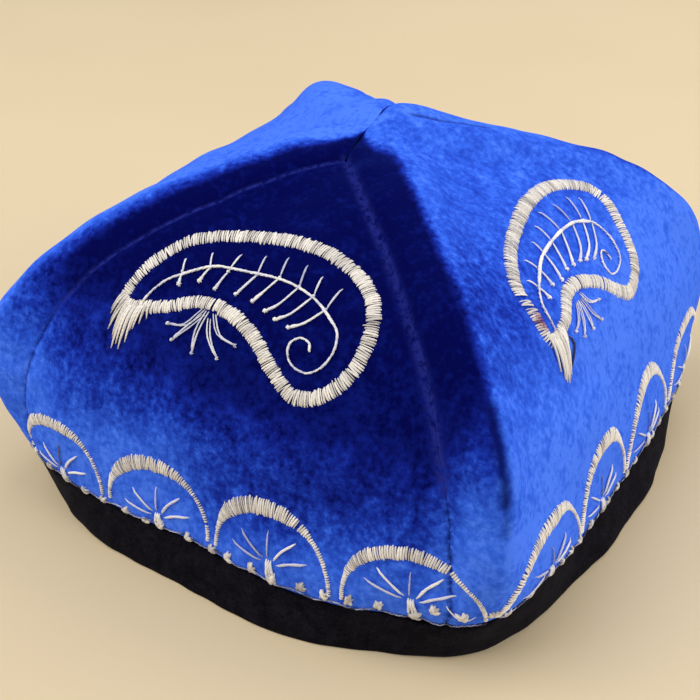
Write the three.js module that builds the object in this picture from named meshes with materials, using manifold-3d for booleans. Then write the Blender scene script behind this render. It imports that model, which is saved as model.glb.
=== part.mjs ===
// A four-cornered cap of velvet, standing on its rim.
// Four gores make the crown: its faces look along X and Y, and its ridges lie on the diagonals.
// A black band binds the rim. Each face carries an almond outline and a row of arches in raised satin stitch.
// Units are millimetres, +Z is up, and the origin is on the floor under the middle of the crown.

import * as THREE from 'three';
import { mergeVertices } from 'three/addons/utils/BufferGeometryUtils.js';
import Module from 'manifold-3d';

// Driving dimensions

// Level sections of the crown, from its lower edge to its top.
// height is taken on a ridge, face is the half-width at mid-face, corner is the reach of a ridge.
const CROWN_SECTIONS = [
  { height: 14.5, face: 82.2, corner: 101.2 },
  { height: 25.0, face: 81.5, corner: 105.8 },
  { height: 36.0, face: 80.0, corner: 108.0 },
  { height: 47.0, face: 77.5, corner: 107.0 },
  { height: 57.0, face: 73.0, corner: 104.4 },
  { height: 66.0, face: 68.0, corner: 97.6 },
  { height: 74.0, face: 61.0, corner: 88.0 },
  { height: 81.0, face: 50.5, corner: 76.0 },
  { height: 87.0, face: 37.5, corner: 62.0 },
  { height: 91.8, face: 25.0, corner: 47.0 },
  { height: 95.5, face: 14.0, corner: 32.0 },
  { height: 97.8, face: 6.0, corner: 16.0 },
  { height: 98.2, face: 0.0, corner: 0.0 },
];
const EDGE_DIP = 1.6; // the crown's lower edge hangs this much lower at mid-face than at a ridge
// Places where the edge hangs lower still, or higher where negative: drop, angle in degrees, and spread.
const EDGE_DROPS = [
  { depth: 1.6, at: 17, spread: 6 },
  { depth: -4.4, at: 54.5, spread: 5.5 },
  { depth: -2.6, at: 318, spread: 6 },
];
const EDGE_DIP_REACH = 0.25; // share of the crown's rise over which the dip and the drops fade out
const SQUARE_REACH = 1.27; // corner over face up to which a section is a plain rounded square
const FOLD_SPREAD = 8; // breadth of the pinched fold that stands along each ridge
const CLOTH = 2.4; // velvet and its backing

// Soft fullness of the cloth behind the top: rise, centre, and spread along X and Y.
const PUFFS = [
  { rise: 4.0, x: -34, y: 23, spreadX: 10.6, spreadY: 11.6 },
  { rise: 5.3, x: 2, y: 12, spreadX: 8.3, spreadY: 11.7 },
];

// Soft bulges of the wall, hollows if negative: rise, angle in degrees, share of the way up, and both spreads.
const BULGES = [
  { rise: 3.2, at: 275, spread: 17, share: 0.56, shareSpread: 0.065 },
  { rise: -3.6, at: 272, spread: 21, share: 0.44, shareSpread: 0.068 },
  { rise: -3.4, at: 228, spread: 8, share: 0.57, shareSpread: 0.07 },
];

const SEAM_OFFSET = 10.5; // from a ridge to the seam beside it, on the front and back faces
const GAP = 0.3; // between neighbouring pieces

// Band round the rim: its foot on the floor, its thickness, and the round of its lower fold.
const RIM_FACE = 86;
const RIM_CORNER = 95.9;
const BAND_THICKNESS = 3;
const BAND_FOLD = 0.7;
// The rim is drawn in on the right face, and stands out at the corner before it, in front and behind.
const RIM_DRAWS = [
  { depth: 2.7, at: 66, spread: 11 },
  { depth: -2.2, at: 44, spread: 6 },
  { depth: -3.0, at: 13, spread: 11 },
  { depth: -3.0, at: 193, spread: 11 },
];
const RIM_DRAW_FADE = 0.12; // share of the crown's rise over which the drawing in fades out

// Raised satin stitch, on face coordinates: across from mid-face, and up from the crown's lower edge.
const STITCH_LIFT = 0.4;
const STITCH_HEIGHT = 0.9;
const ALMOND_WIDTH = 4;
// How broad each almond is against the outline below, and how far down its face it is set.
const ALMONDS = {
  front: { span: 1, drop: 0 },
  right: { span: 0.9, drop: 0 },
  back: { span: 1, drop: 0 },
  left: { span: 1, drop: 22 },
};
const ALMOND_OUTLINE = [
  { across: -34.5, up: 57.5 },
  { across: -32.5, up: 66.5 },
  { across: -26.5, up: 75.5 },
  { across: -16.0, up: 82.0 },
  { across: -3.0, up: 84.8 },
  { across: 10.0, up: 85.2 },
  { across: 21.5, up: 81.8 },
  { across: 29.5, up: 75.0 },
  { across: 32.5, up: 66.0 },
  { across: 31.0, up: 57.0 },
  { across: 25.0, up: 49.8 },
  { across: 18.0, up: 48.0 },
  { across: 11.5, up: 52.0 },
  { across: 4.0, up: 58.5 },
  { across: -5.0, up: 62.6 },
  { across: -14.0, up: 62.8 },
  { across: -24.0, up: 58.6 },
];
// Rows of arches: the middle of each arch, half its span, its rise over its feet, and its width at the crown.
// The first shoulder is fuller than an ellipse: its rise goes with this power of the sine.
const ARCH_ROW = [
  { middle: -50.0, halfSpan: 14.2, rise: 15.2, width: 3.8, shoulder: 0.6 },
  { middle: -17.2, halfSpan: 15.9, rise: 15.4, width: 4.4, shoulder: 0.85 },
  { middle: 18.0, halfSpan: 16.6, rise: 17.1, width: 4.6, shoulder: 0.8 },
  { middle: 55.4, halfSpan: 17.4, rise: 16.9, width: 3.8, shoulder: 0.75 },
];
const RIGHT_ARCH_ROW = [
  { middle: -55.0, halfSpan: 18.2, rise: 18.8, width: 4.6, shoulder: 0.45 },
  { middle: -19.3, halfSpan: 15.6, rise: 19.6, width: 4.6, shoulder: 0.9 },
  { middle: 15.0, halfSpan: 16.4, rise: 19.4, width: 4.6, shoulder: 0.9 },
  { middle: 53.3, halfSpan: 18.6, rise: 17.6, width: 4.6, shoulder: 0.9 },
];
const ARCH_ROWS = { front: ARCH_ROW, right: RIGHT_ARCH_ROW, back: ARCH_ROW, left: ARCH_ROW };
const ARCH_FOOT = 3.2;
const ARCH_FOOT_WIDTH = 1.2;

// Mesh fineness
const STEPS_PER_FACE = 14;
const CROWN_STEPS = 17;
const CROWN_TOP_SHARE = 0.975;
const ALMOND_STEPS = 44;
const ARCH_STEPS = 16;
const RULER_STEPS = 60;
const NUDGE = 1e-3;

const VELVET = new THREE.MeshStandardMaterial({ name: 'velvet', color: 0x1f3fc4, roughness: 0.9, metalness: 0 });
const BAND = new THREE.MeshStandardMaterial({ name: 'band', color: 0x0d0d14, roughness: 0.95, metalness: 0 });
const SILK = new THREE.MeshStandardMaterial({ name: 'silk', color: 0xe3d9bd, roughness: 0.6, metalness: 0 });

const QUARTER = Math.PI / 2;
const HALF_FACE = Math.PI / 4;
const FACES = ['front', 'right', 'back', 'left'];

const wasm = await Module();
wasm.setup();

// Crown surface

const crownCurve = new THREE.CatmullRomCurve3(
  CROWN_SECTIONS.map(({ face, corner, height }) => new THREE.Vector3(face, corner, height)),
  false,
  'catmullrom',
);

function bell(distance, spread) {
  return Math.exp(-0.5 * (distance / spread) ** 2);
}

// Angle from the middle of the nearest face, for an angle counted from the front face towards +X.
function angleOnFace(angle) {
  return THREE.MathUtils.euclideanModulo(angle + HALF_FACE, QUARTER) - HALF_FACE;
}

// Degrees from one angle to another, the short way round.
function degreesApart(angle, at) {
  return THREE.MathUtils.euclideanModulo(THREE.MathUtils.radToDeg(angle) - at + 180, 360) - 180;
}

// What soft places round the rim add up to at an angle.
function depthAt(places, angle) {
  return places.reduce((sum, { depth, at, spread }) => sum + depth * bell(degreesApart(angle, at), spread), 0);
}

// How far the wall bulges at an angle and a share of the way up.
function bulgeAt(angle, share) {
  return BULGES.reduce((sum, bulge) => {
    const near = bell(degreesApart(angle, bulge.at), bulge.spread);
    return sum + bulge.rise * near * bell(share - bulge.share, bulge.shareSpread);
  }, 0);
}

// Radius of a rounded square whose sides lie at face and whose corners reach corner.
function roundedSquare(face, corner, angle) {
  const power = 1 / (0.5 - Math.log2(corner / face));
  const sum = Math.abs(Math.cos(angle)) ** power + Math.abs(Math.sin(angle)) ** power;
  return face / sum ** (1 / power);
}

// Radius of a crown section: a rounded square, and past it a fold that stands out along each ridge.
function sectionRadius(face, corner, angle) {
  const squareCorner = Math.min(corner, SQUARE_REACH * face);
  const square = roundedSquare(face, squareCorner, angle);
  const beside = (radius, turn) => (radius * Math.sin(HALF_FACE - Math.abs(turn))) / FOLD_SPREAD;
  const fold = Math.exp(-(beside(square, angle) ** 2));
  const foldAtFace = Math.exp(-(beside(face, 0) ** 2));
  return square + ((corner - squareCorner) * (fold - foldAtFace)) / (1 - foldAtFace);
}

function polar(radius, angle, height) {
  return new THREE.Vector3(radius * Math.sin(angle), -radius * Math.cos(angle), height);
}

// Point on the outside of the crown, at an angle and a share of the way from its lower edge to its top.
function crownPoint(angle, share) {
  const { x: face, y: corner, z: height } = crownCurve.getPoint(share);
  const turn = angleOnFace(angle);
  const edgeDip = EDGE_DIP * Math.cos(2 * turn) ** 2 + depthAt(EDGE_DROPS, angle);
  const dip = edgeDip * Math.max(0, 1 - share / EDGE_DIP_REACH);
  const soft = bulgeAt(angle, share) - depthAt(RIM_DRAWS, angle) * bell(share, RIM_DRAW_FADE);
  const point = polar(sectionRadius(face, corner, turn) + soft, angle, height - dip);
  for (const { rise, x, y, spreadX, spreadY } of PUFFS) {
    point.z += rise * bell(point.x - x, spreadX) * bell(point.y - y, spreadY);
  }
  return point;
}

function crownNormal(angle, share) {
  const round = crownPoint(angle + NUDGE, share).sub(crownPoint(angle - NUDGE, share));
  const up = crownPoint(angle, share + NUDGE).sub(crownPoint(angle, Math.max(0, share - NUDGE)));
  return round.cross(up).normalize();
}

function offCrown(angle, share, distance) {
  return crownPoint(angle, share).addScaledVector(crownNormal(angle, share), distance);
}

// Solids from rings of points

// Joins rings of equally many points into one closed body: a closed loop, or a run with both ends capped.
function skin(rings, loop) {
  const count = rings[0].length;
  const points = rings.flat();
  const index = [];
  const joins = loop ? rings.length : rings.length - 1;
  for (let i = 0; i < joins; i += 1) {
    for (let j = 0; j < count; j += 1) {
      const a = i * count + j;
      const b = i * count + ((j + 1) % count);
      const shift = (((i + 1) % rings.length) - i) * count;
      index.push(a, b, b + shift, a, b + shift, a + shift);
    }
  }
  if (!loop) {
    for (const [ring, flip] of [[0, true], [rings.length - 1, false]]) {
      const hub = points.length;
      points.push(rings[ring].reduce((sum, p) => sum.add(p), new THREE.Vector3()).divideScalar(count));
      for (let j = 0; j < count; j += 1) {
        const a = ring * count + j;
        const b = ring * count + ((j + 1) % count);
        index.push(...(flip ? [b, a, hub] : [a, b, hub]));
      }
    }
  }
  return new THREE.BufferGeometry().setFromPoints(points).setIndex(index);
}

function toSolid(geometry) {
  const bare = geometry.clone();
  bare.deleteAttribute('normal');
  bare.deleteAttribute('uv');
  const merged = mergeVertices(bare);
  const mesh = new wasm.Mesh({
    numProp: 3,
    vertProperties: new Float32Array(merged.attributes.position.array),
    triVerts: new Uint32Array(merged.index.array),
  });
  return new wasm.Manifold(mesh);
}

function toGeometry(solid) {
  const { vertProperties, triVerts } = solid.getMesh();
  const geometry = new THREE.BufferGeometry();
  geometry.setAttribute('position', new THREE.BufferAttribute(new Float32Array(vertProperties), 3));
  geometry.setIndex(new THREE.BufferAttribute(new Uint32Array(triVerts), 1));
  return geometry;
}

function addPiece(group, name, geometry, material) {
  geometry.computeVertexNormals();
  const mesh = new THREE.Mesh(geometry, material);
  mesh.name = name;
  group.add(mesh);
}

// Angles right round the cap, closer together towards the ridges.
function anglesRound() {
  const angles = [];
  for (let side = 0; side < FACES.length; side += 1) {
    for (let step = 0; step < STEPS_PER_FACE; step += 1) {
      const across = (2 * step) / STEPS_PER_FACE - 1;
      angles.push(side * QUARTER + HALF_FACE * Math.sin(across * QUARTER));
    }
  }
  return angles;
}

// Crown shell and its four gores

function crownShell() {
  const angles = anglesRound();
  const shares = Array.from({ length: CROWN_STEPS + 1 }, (_, i) => (CROWN_TOP_SHARE * i) / CROWN_STEPS);
  const ring = (share, depth) => angles.map((angle) => offCrown(angle, share, -depth));
  const inside = [...shares].reverse().map((share) => ring(share, CLOTH));
  const outside = shares.map((share) => ring(share, 0));
  return toSolid(skin([...inside, ...outside], false));
}

// Plan of a gore between its seams. Front and back gores are wedges set in from the ridges.
// Side gores fill what is left, and meet each other on a short seam over the top.
function gorePlans() {
  const reach = 2 * RIM_CORNER;
  const tip = SEAM_OFFSET * Math.SQRT2;
  const slack = (GAP / 2) * Math.SQRT2;
  const wedgeTip = tip + slack;
  const sideTip = tip - slack;
  const plan = (...corners) => new THREE.Shape(corners.map(([x, y]) => new THREE.Vector2(x, y)));
  return {
    front: plan([0, -wedgeTip], [-reach, -wedgeTip - reach], [reach, -wedgeTip - reach]),
    back: plan([0, wedgeTip], [reach, wedgeTip + reach], [-reach, wedgeTip + reach]),
    right: plan([GAP / 2, -sideTip], [reach, -sideTip - reach], [reach, sideTip + reach], [GAP / 2, sideTip]),
    left: plan([-GAP / 2, sideTip], [-reach, sideTip + reach], [-reach, -sideTip - reach], [-GAP / 2, -sideTip]),
  };
}

function addGores(group) {
  const shell = crownShell();
  const top = CROWN_SECTIONS.at(-1).height;
  const plans = gorePlans();
  for (const face of FACES) {
    const prism = new THREE.ExtrudeGeometry(plans[face], { depth: 2 * top, bevelEnabled: false });
    addPiece(group, `${face}_gore`, toGeometry(shell.intersect(toSolid(prism))), VELVET);
  }
}

// Band round the rim

function addBand(group) {
  const section = (angle) => {
    const edge = crownPoint(angle, 0);
    const topRadius = Math.hypot(edge.x, edge.y);
    const footRadius = sectionRadius(RIM_FACE, RIM_CORNER, angleOnFace(angle)) - depthAt(RIM_DRAWS, angle);
    const top = edge.z - GAP;
    const radiusAt = (height) => THREE.MathUtils.lerp(footRadius, topRadius, height / edge.z);
    const at = (inset, height) => polar(radiusAt(height) - inset, angle, height);
    return [
      at(BAND_THICKNESS - BAND_FOLD, 0),
      at(BAND_THICKNESS, BAND_FOLD),
      at(BAND_THICKNESS, top),
      at(0, top),
      at(0, top / 2),
      at(0, BAND_FOLD),
      at(BAND_FOLD, 0),
    ];
  };
  addPiece(group, 'rim_band', skin(anglesRound().map(section), true), BAND);
}

// Face coordinates

const RULER_SHARES = Array.from({ length: RULER_STEPS + 1 }, (_, i) => i / RULER_STEPS);

// Lengths along a run of points, counted from the first one.
function lengthsAlong(points) {
  const lengths = [0];
  for (let i = 1; i < points.length; i += 1) {
    lengths.push(lengths[i - 1] + points[i].distanceTo(points[i - 1]));
  }
  return lengths;
}

// Share of a run of points that lies at a length along it.
function shareAt(lengths, length) {
  const next = Math.max(1, lengths.findIndex((mark) => mark >= length));
  const part = (length - lengths[next - 1]) / (lengths[next] - lengths[next - 1]);
  return (next - 1 + part) / RULER_STEPS;
}

// Lengths up the middle of a face, from its lower edge to the top.
const upLengths = lengthsAlong(
  RULER_SHARES.map((share) => {
    const { x: face, z: height } = crownCurve.getPoint(share);
    return new THREE.Vector2(face, height);
  }),
);

// Lengths across half a face along one section, from mid-face to the ridge.
function acrossLengths(share) {
  const { x: face, y: corner } = crownCurve.getPoint(share);
  const radius = (angle) => sectionRadius(face, corner, angle);
  return lengthsAlong(RULER_SHARES.map((part) => polar(radius(part * HALF_FACE), part * HALF_FACE, 0)));
}

// Point over a face, by its distance across from mid-face and up from the crown's lower edge.
function facePoint(side, across, up, lift) {
  const share = shareAt(upLengths, up);
  const lengths = acrossLengths(share);
  const reach = Math.min(Math.abs(across), lengths.at(-1));
  const turn = Math.sign(across) * shareAt(lengths, reach) * HALF_FACE;
  return offCrown(side * QUARTER + turn, share, lift);
}

// Raised satin stitch

// Section of a stitched ridge across its line: flat under, and rounded on top.
const STITCH_SECTION = [
  { side: -0.5, lift: 0 },
  { side: 0.5, lift: 0 },
  { side: 0.33, lift: 0.8 },
  { side: 0, lift: 1 },
  { side: -0.33, lift: 0.8 },
];

// A stitched ridge along a line on a face, from stations that each give a place, a heading and a width.
function stitchedRidge(side, stations, loop) {
  const rings = stations.map(({ across, up, heading, width }) =>
    STITCH_SECTION.map((corner) =>
      facePoint(
        side,
        across - Math.sin(heading) * corner.side * width,
        up + Math.cos(heading) * corner.side * width,
        STITCH_LIFT + corner.lift * STITCH_HEIGHT,
      ),
    ),
  );
  return skin(rings, loop);
}

function almondStations({ span, drop }) {
  const line = new THREE.CatmullRomCurve3(
    ALMOND_OUTLINE.map(({ across, up }) => new THREE.Vector3(across * span, up - drop, 0)),
    true,
    'centripetal',
  );
  return Array.from({ length: ALMOND_STEPS }, (_, i) => {
    const place = line.getPointAt(i / ALMOND_STEPS);
    const ahead = line.getTangentAt(i / ALMOND_STEPS);
    return { across: place.x, up: place.y, heading: Math.atan2(ahead.y, ahead.x), width: ALMOND_WIDTH };
  });
}

function archStations({ middle, halfSpan, rise, width, shoulder }) {
  return Array.from({ length: ARCH_STEPS + 1 }, (_, i) => {
    const turn = (Math.PI * i) / ARCH_STEPS;
    const power = i < ARCH_STEPS / 2 ? shoulder : 1;
    const climb = rise * power * Math.sin(turn) ** (power - 1) * Math.cos(turn);
    return {
      across: middle - halfSpan * Math.cos(turn),
      up: ARCH_FOOT + rise * Math.sin(turn) ** power,
      heading: Math.atan2(climb, halfSpan * Math.sin(turn)),
      width: THREE.MathUtils.lerp(ARCH_FOOT_WIDTH, width, Math.sin(turn) ** 2),
    };
  });
}

function addEmbroidery(group) {
  FACES.forEach((face, side) => {
    const almond = almondStations(ALMONDS[face]);
    addPiece(group, `${face}_almond`, stitchedRidge(side, almond, true), SILK);
    ARCH_ROWS[face].forEach((arch, i) => {
      addPiece(group, `${face}_arch_${i + 1}`, stitchedRidge(side, archStations(arch), false), SILK);
    });
  });
}

const cap = new THREE.Group();
addGores(cap);
addBand(cap);
addEmbroidery(cap);

export default cap;
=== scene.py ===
# %% [markdown]
# # A four-cornered velvet cap
# The cap is sewn from four velvet gores, bound with black round the rim and worked in cream silk floss.
# The packed solids say where each piece is and how large it is. This lesson dresses them: it lays velvet
# over the crown, binds the rim and sews every stitch. Sizes are in millimetres, as a sewer would measure
# them, and become metres only where a mesh is made.

import math

import bmesh
import bpy
import numpy as np
from mathutils import Matrix, Vector


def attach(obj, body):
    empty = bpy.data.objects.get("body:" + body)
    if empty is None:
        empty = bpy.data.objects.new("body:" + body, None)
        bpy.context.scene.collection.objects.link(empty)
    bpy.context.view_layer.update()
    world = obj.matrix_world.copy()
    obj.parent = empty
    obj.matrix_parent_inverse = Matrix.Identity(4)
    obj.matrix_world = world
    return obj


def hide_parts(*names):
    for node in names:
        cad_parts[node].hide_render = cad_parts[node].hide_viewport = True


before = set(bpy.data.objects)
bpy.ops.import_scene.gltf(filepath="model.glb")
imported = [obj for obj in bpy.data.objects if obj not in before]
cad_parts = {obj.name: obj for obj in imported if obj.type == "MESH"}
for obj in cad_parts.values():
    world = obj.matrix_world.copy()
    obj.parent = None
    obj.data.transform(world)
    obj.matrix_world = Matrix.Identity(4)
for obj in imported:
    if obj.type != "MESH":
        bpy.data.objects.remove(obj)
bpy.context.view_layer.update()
MM = 0.001

# %% [markdown]
# The camera looks down on one ridge, with the front face on the left and the right face turned away.
# It could be aimed with a constraint, but three axes worked out from two angles say plainly where it
# stands. The picture is square, so the focal length in pixels gives the lens at once.

# %% Camera
AZIMUTH = math.radians(29.7)
ELEVATION = math.radians(32.7)
AIM = Vector((0, 0, 40))
SHIFT_RIGHT = -5.9
SHIFT_UP = -10.0
DISTANCE = 349.1
FOCAL_PIXELS = 1187.3
IMAGE_PIXELS = 700
SENSOR = 36

level = math.cos(ELEVATION)
cam_right = Vector((math.cos(AZIMUTH), math.sin(AZIMUTH), 0))
cam_back = Vector((math.sin(AZIMUTH) * level, -math.cos(AZIMUTH) * level, math.sin(ELEVATION)))
cam_up = cam_back.cross(cam_right)
eye = AIM + SHIFT_RIGHT * cam_right + SHIFT_UP * cam_up + DISTANCE * cam_back
lens = bpy.data.cameras.new("camera")
lens.sensor_width = SENSOR
lens.lens = FOCAL_PIXELS / IMAGE_PIXELS * SENSOR
camera = bpy.data.objects.new("camera", lens)
aim_axes = Matrix((cam_right, cam_up, cam_back)).transposed()
camera.matrix_world = Matrix.LocRotScale(eye * MM, aim_axes.to_quaternion(), None)
bpy.context.collection.objects.link(camera)
bpy.context.scene.camera = camera
print("lens in mm:", round(lens.lens, 2), "eye in mm:", [round(x) for x in eye])

# %% [markdown]
# Every piece lies on one surface, the outside of the crown. It is a stack of level sections, and each is
# a rounded square with a pinched fold standing out along its four ridges. A mesh could be sculpted, but
# a formula can be asked for any point, so gores, seams and stitches all meet exactly.

# %% Crown sections
# Columns: height on a ridge, half-width at mid-face, reach of a ridge.
CROWN_SECTIONS = np.array([
    (14.5, 82.2, 101.2),
    (25.0, 81.5, 105.8),
    (36.0, 80.0, 108.0),
    (47.0, 77.5, 107.0),
    (57.0, 73.0, 104.4),
    (66.0, 68.0, 97.6),
    (74.0, 61.0, 88.0),
    (81.0, 50.5, 76.0),
    (87.0, 37.5, 62.0),
    (91.8, 25.0, 47.0),
    (95.5, 14.0, 32.0),
    (97.8, 6.0, 16.0),
    (98.2, 0.0, 0.0),
])


def cubic(start, end, leave, arrive, part):
    """A cubic from start to end, with the given slopes at its two ends."""
    bend = 3 * (end - start) - 2 * leave - arrive
    twist = 2 * (start - end) + leave + arrive
    return start + part * (leave + part * (bend + part * twist))


def smooth_run(points, share):
    """Points at shares of the way along a smooth line through all the given points."""
    points = np.asarray(points, float)
    ends = np.vstack([2 * points[0] - points[1], points, 2 * points[-1] - points[-2]])
    place = np.clip(np.asarray(share, float), 0, 1) * (len(points) - 1)
    span = np.minimum(place.astype(int), len(points) - 2)
    before, start, end, after = (ends[span + k] for k in range(4))
    return cubic(start, end, (end - before) / 2, (after - start) / 2, (place - span)[..., None])


print("sections:", len(CROWN_SECTIONS), "from", CROWN_SECTIONS[0, 0], "to", CROWN_SECTIONS[-1, 0], "mm high")

# %% Outline of a section
QUARTER = math.pi / 2
HALF_FACE = math.pi / 4
SQUARE_REACH = 1.27
FOLD_SPREAD = 8
TINY = 1e-6


def section_radius(face, corner, turn):
    """Radius of a level section at a turn from mid-face: a rounded square with a fold on each ridge."""
    face = np.maximum(face, TINY)
    corner = np.maximum(corner, face)
    square_corner = np.minimum(corner, SQUARE_REACH * face)
    power = 1 / (0.5 - np.log2(square_corner / face))
    total = np.abs(np.cos(turn)) ** power + np.abs(np.sin(turn)) ** power
    square = face / total ** (1 / power)
    fold = np.exp(-((square * np.sin(HALF_FACE - np.abs(turn)) / FOLD_SPREAD) ** 2))
    fold_at_face = np.exp(-((face * math.sin(HALF_FACE) / FOLD_SPREAD) ** 2))
    return square + (corner - square_corner) * (fold - fold_at_face) / np.maximum(1 - fold_at_face, TINY)


def turn_on_face(angle):
    """Turn from the middle of the nearest face."""
    return np.mod(angle + HALF_FACE, QUARTER) - HALF_FACE


print("lowest section in mm: mid-face", section_radius(*CROWN_SECTIONS[0, 1:], 0).round(1),
      "and ridge", section_radius(*CROWN_SECTIONS[0, 1:], HALF_FACE).round(1))

# %% [markdown]
# Worn cloth is never quite even. The edge hangs lower here and there, the wall bulges and sinks, the rim
# is drawn in, and the cloth puffs up behind the top. Dents could be pushed in with a sculpting brush, but
# a table of bells says where each one is and how far it spreads, and can be corrected row by row.

# %% Soft places of the crown
EDGE_DIP = 1.6
EDGE_DIP_REACH = 0.25
# Columns: how much lower still the edge hangs, at which angle in degrees and over what spread.
EDGE_DROPS = [
    (1.6, 17, 6),
    (-4.4, 54.5, 5.5),
    (-2.6, 318, 6),
]
# Columns: how far the rim is drawn in, at which angle in degrees and over what spread.
RIM_DRAWS = [
    (2.7, 66, 11),
    (-2.2, 44, 6),
    (-3.0, 13, 11),
    (-3.0, 193, 11),
]
RIM_DRAW_FADE = 0.12
# Columns: rise of a bulge in the wall, its angle in degrees and spread, its share of the way up and spread.
BULGES = [
    (3.2, 275, 17, 0.56, 0.065),
    (-3.6, 272, 21, 0.44, 0.068),
    (-3.4, 228, 8, 0.57, 0.07),
]
# Columns: rise, centre along X and Y, spread along X and Y.
PUFFS = [
    (4.0, -34, 23, 10.6, 11.6),
    (5.3, 2, 12, 8.3, 11.7),
]


def bell(distance, spread):
    return np.exp(-0.5 * (distance / spread) ** 2)


def degrees_apart(angle, at):
    """Degrees from one angle to another, the short way round."""
    return np.mod(np.degrees(angle) - at + 180, 360) - 180


def depth_at(places, angle):
    """What soft places round the rim add up to at an angle."""
    return sum(depth * bell(degrees_apart(angle, at), spread) for depth, at, spread in places)


def bulge_at(angle, share):
    """How far the wall bulges out at an angle and a share of the way up."""
    total = 0
    for rise, at, spread, share_at, share_spread in BULGES:
        total = total + rise * bell(degrees_apart(angle, at), spread) * bell(share - share_at, share_spread)
    return total


print("soft places:", len(EDGE_DROPS) + len(RIM_DRAWS) + len(BULGES) + len(PUFFS))

# %% Crown surface
NUDGE = 1e-3
TOP_SHARE = 0.985


def crown_point(angle, share):
    """Point on the crown, at an angle from the front and a share of the way from edge to top."""
    height, face, corner = np.moveaxis(smooth_run(CROWN_SECTIONS, share), -1, 0)
    turn = turn_on_face(angle)
    soft = bulge_at(angle, share) - depth_at(RIM_DRAWS, angle) * bell(share, RIM_DRAW_FADE)
    radius = section_radius(face, corner, turn) + soft
    x = radius * np.sin(angle)
    y = -radius * np.cos(angle)
    edge_dip = EDGE_DIP * np.cos(2 * turn) ** 2 + depth_at(EDGE_DROPS, angle)
    z = height - edge_dip * np.maximum(0, 1 - share / EDGE_DIP_REACH)
    for rise, puff_x, puff_y, spread_x, spread_y in PUFFS:
        z = z + rise * bell(x - puff_x, spread_x) * bell(y - puff_y, spread_y)
    return np.stack([x, y, z], axis=-1)


def unit(vectors):
    return vectors / np.maximum(np.linalg.norm(vectors, axis=-1, keepdims=True), TINY)


def crown_normal(angle, share):
    share = np.clip(share, NUDGE, TOP_SHARE)
    about = crown_point(angle + NUDGE, share) - crown_point(angle - NUDGE, share)
    uphill = crown_point(angle, share + NUDGE) - crown_point(angle, share - NUDGE)
    return unit(np.cross(about, uphill))


widest = CROWN_SECTIONS[:, 2].argmax() / (len(CROWN_SECTIONS) - 1)
print("ridge at its widest:", crown_point(np.array(HALF_FACE), np.array(widest)).round(1), "mm")

# %% [markdown]
# Embroidery is drawn on the face, not in space: so far across from the middle, so far up from the edge.
# Two rulers turn those lengths into the crown's angle and share. They are tables of lengths along the
# surface, read backwards, which is quicker and steadier than solving for each stitch.

# %% Rulers over a face
FACES = ("front", "right", "back", "left")
RULER = np.linspace(0, 1, 181)
TURNS = np.linspace(0, HALF_FACE, 121)


def lengths_along(points):
    """Lengths along runs of points, counted from the first one of each run."""
    steps = np.linalg.norm(np.diff(points, axis=-2), axis=-1)
    return np.concatenate([np.zeros(steps.shape[:-1] + (1,)), np.cumsum(steps, axis=-1)], axis=-1)


ruler_sections = smooth_run(CROWN_SECTIONS, RULER)
UP_MARKS = lengths_along(ruler_sections[:, :2])
ruler_radius = section_radius(ruler_sections[:, 1:2], ruler_sections[:, 2:3], TURNS)
ACROSS_MARKS = lengths_along(np.stack([ruler_radius * np.sin(TURNS), ruler_radius * np.cos(TURNS)], axis=-1))
print("half the lower edge of a face in mm:", ACROSS_MARKS[0, -1].round(1))
print("up the middle of a face in mm:", UP_MARKS[-1].round(1))

# %% Places on a face
def marks_at(share):
    """Lengths from mid-face to each ruler turn, on the sections at these shares."""
    row = np.clip(share, 0, 1) * (len(RULER) - 1)
    low = np.minimum(row.astype(int), len(RULER) - 2)
    part = (row - low)[..., None]
    return ACROSS_MARKS[low] * (1 - part) + ACROSS_MARKS[low + 1] * part


def face_place(side, across, up):
    """Angle and share of places on a face, given across from its middle and up from the edge."""
    share = np.interp(up, UP_MARKS, RULER)
    marks = marks_at(share)
    reach = np.minimum(np.abs(across), marks[..., -1])
    column = np.clip((marks < reach[..., None]).sum(axis=-1), 1, len(TURNS) - 1)[..., None]
    before = np.take_along_axis(marks, column - 1, axis=-1)[..., 0]
    after = np.take_along_axis(marks, column, axis=-1)[..., 0]
    part = (reach - before) / np.maximum(after - before, TINY)
    turn = (column[..., 0] - 1 + part) * TURNS[1]
    return side * QUARTER + np.sign(across) * turn, share


def place_on_face(turn, share):
    """Across and up of places given by their turn from mid-face and their share."""
    column = np.clip(np.abs(turn) / TURNS[1], 0, len(TURNS) - 1 - TINY)
    low = column.astype(int)[..., None]
    marks = marks_at(share)
    before = np.take_along_axis(marks, low, axis=-1)[..., 0]
    after = np.take_along_axis(marks, low + 1, axis=-1)[..., 0]
    across = np.sign(turn) * (before + (after - before) * (column - low[..., 0]))
    return across, np.interp(share, RULER, UP_MARKS)


CHECK_PLACE = np.array([20.0, 60.0])
there_and_back = place_on_face(*face_place(0, CHECK_PLACE[:1], CHECK_PLACE[1:]))
print("a place in mm:", CHECK_PLACE, "and read back:", np.concatenate(there_and_back).round(3))

# %% [markdown]
# Two opposite gores are narrow and two wrap over the ridges to meet them, so each seam runs beside a
# ridge, and one more joins the wide gores over the top. From above they are straight, as they are sewn.
# A few creases lie where the cap was folded. All are straight runs, so a distance is quick to find.

# %% Lines of the seams and creases
SEAM_OFFSET = 10.5
SEAM_TIP = SEAM_OFFSET * math.sqrt(2)
SEAM_REACH = 160
# Each seam from above, from its start to its end: one over the top, and one beside each ridge.
TOP_SEAM = ((0, -SEAM_TIP), (0, SEAM_TIP))
SIDE_SEAMS = []
for way in (-1, 1):
    for hand in (-1, 1):
        SIDE_SEAMS.append(((0, way * SEAM_TIP), (hand * SEAM_REACH, way * (SEAM_TIP + SEAM_REACH))))
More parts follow.
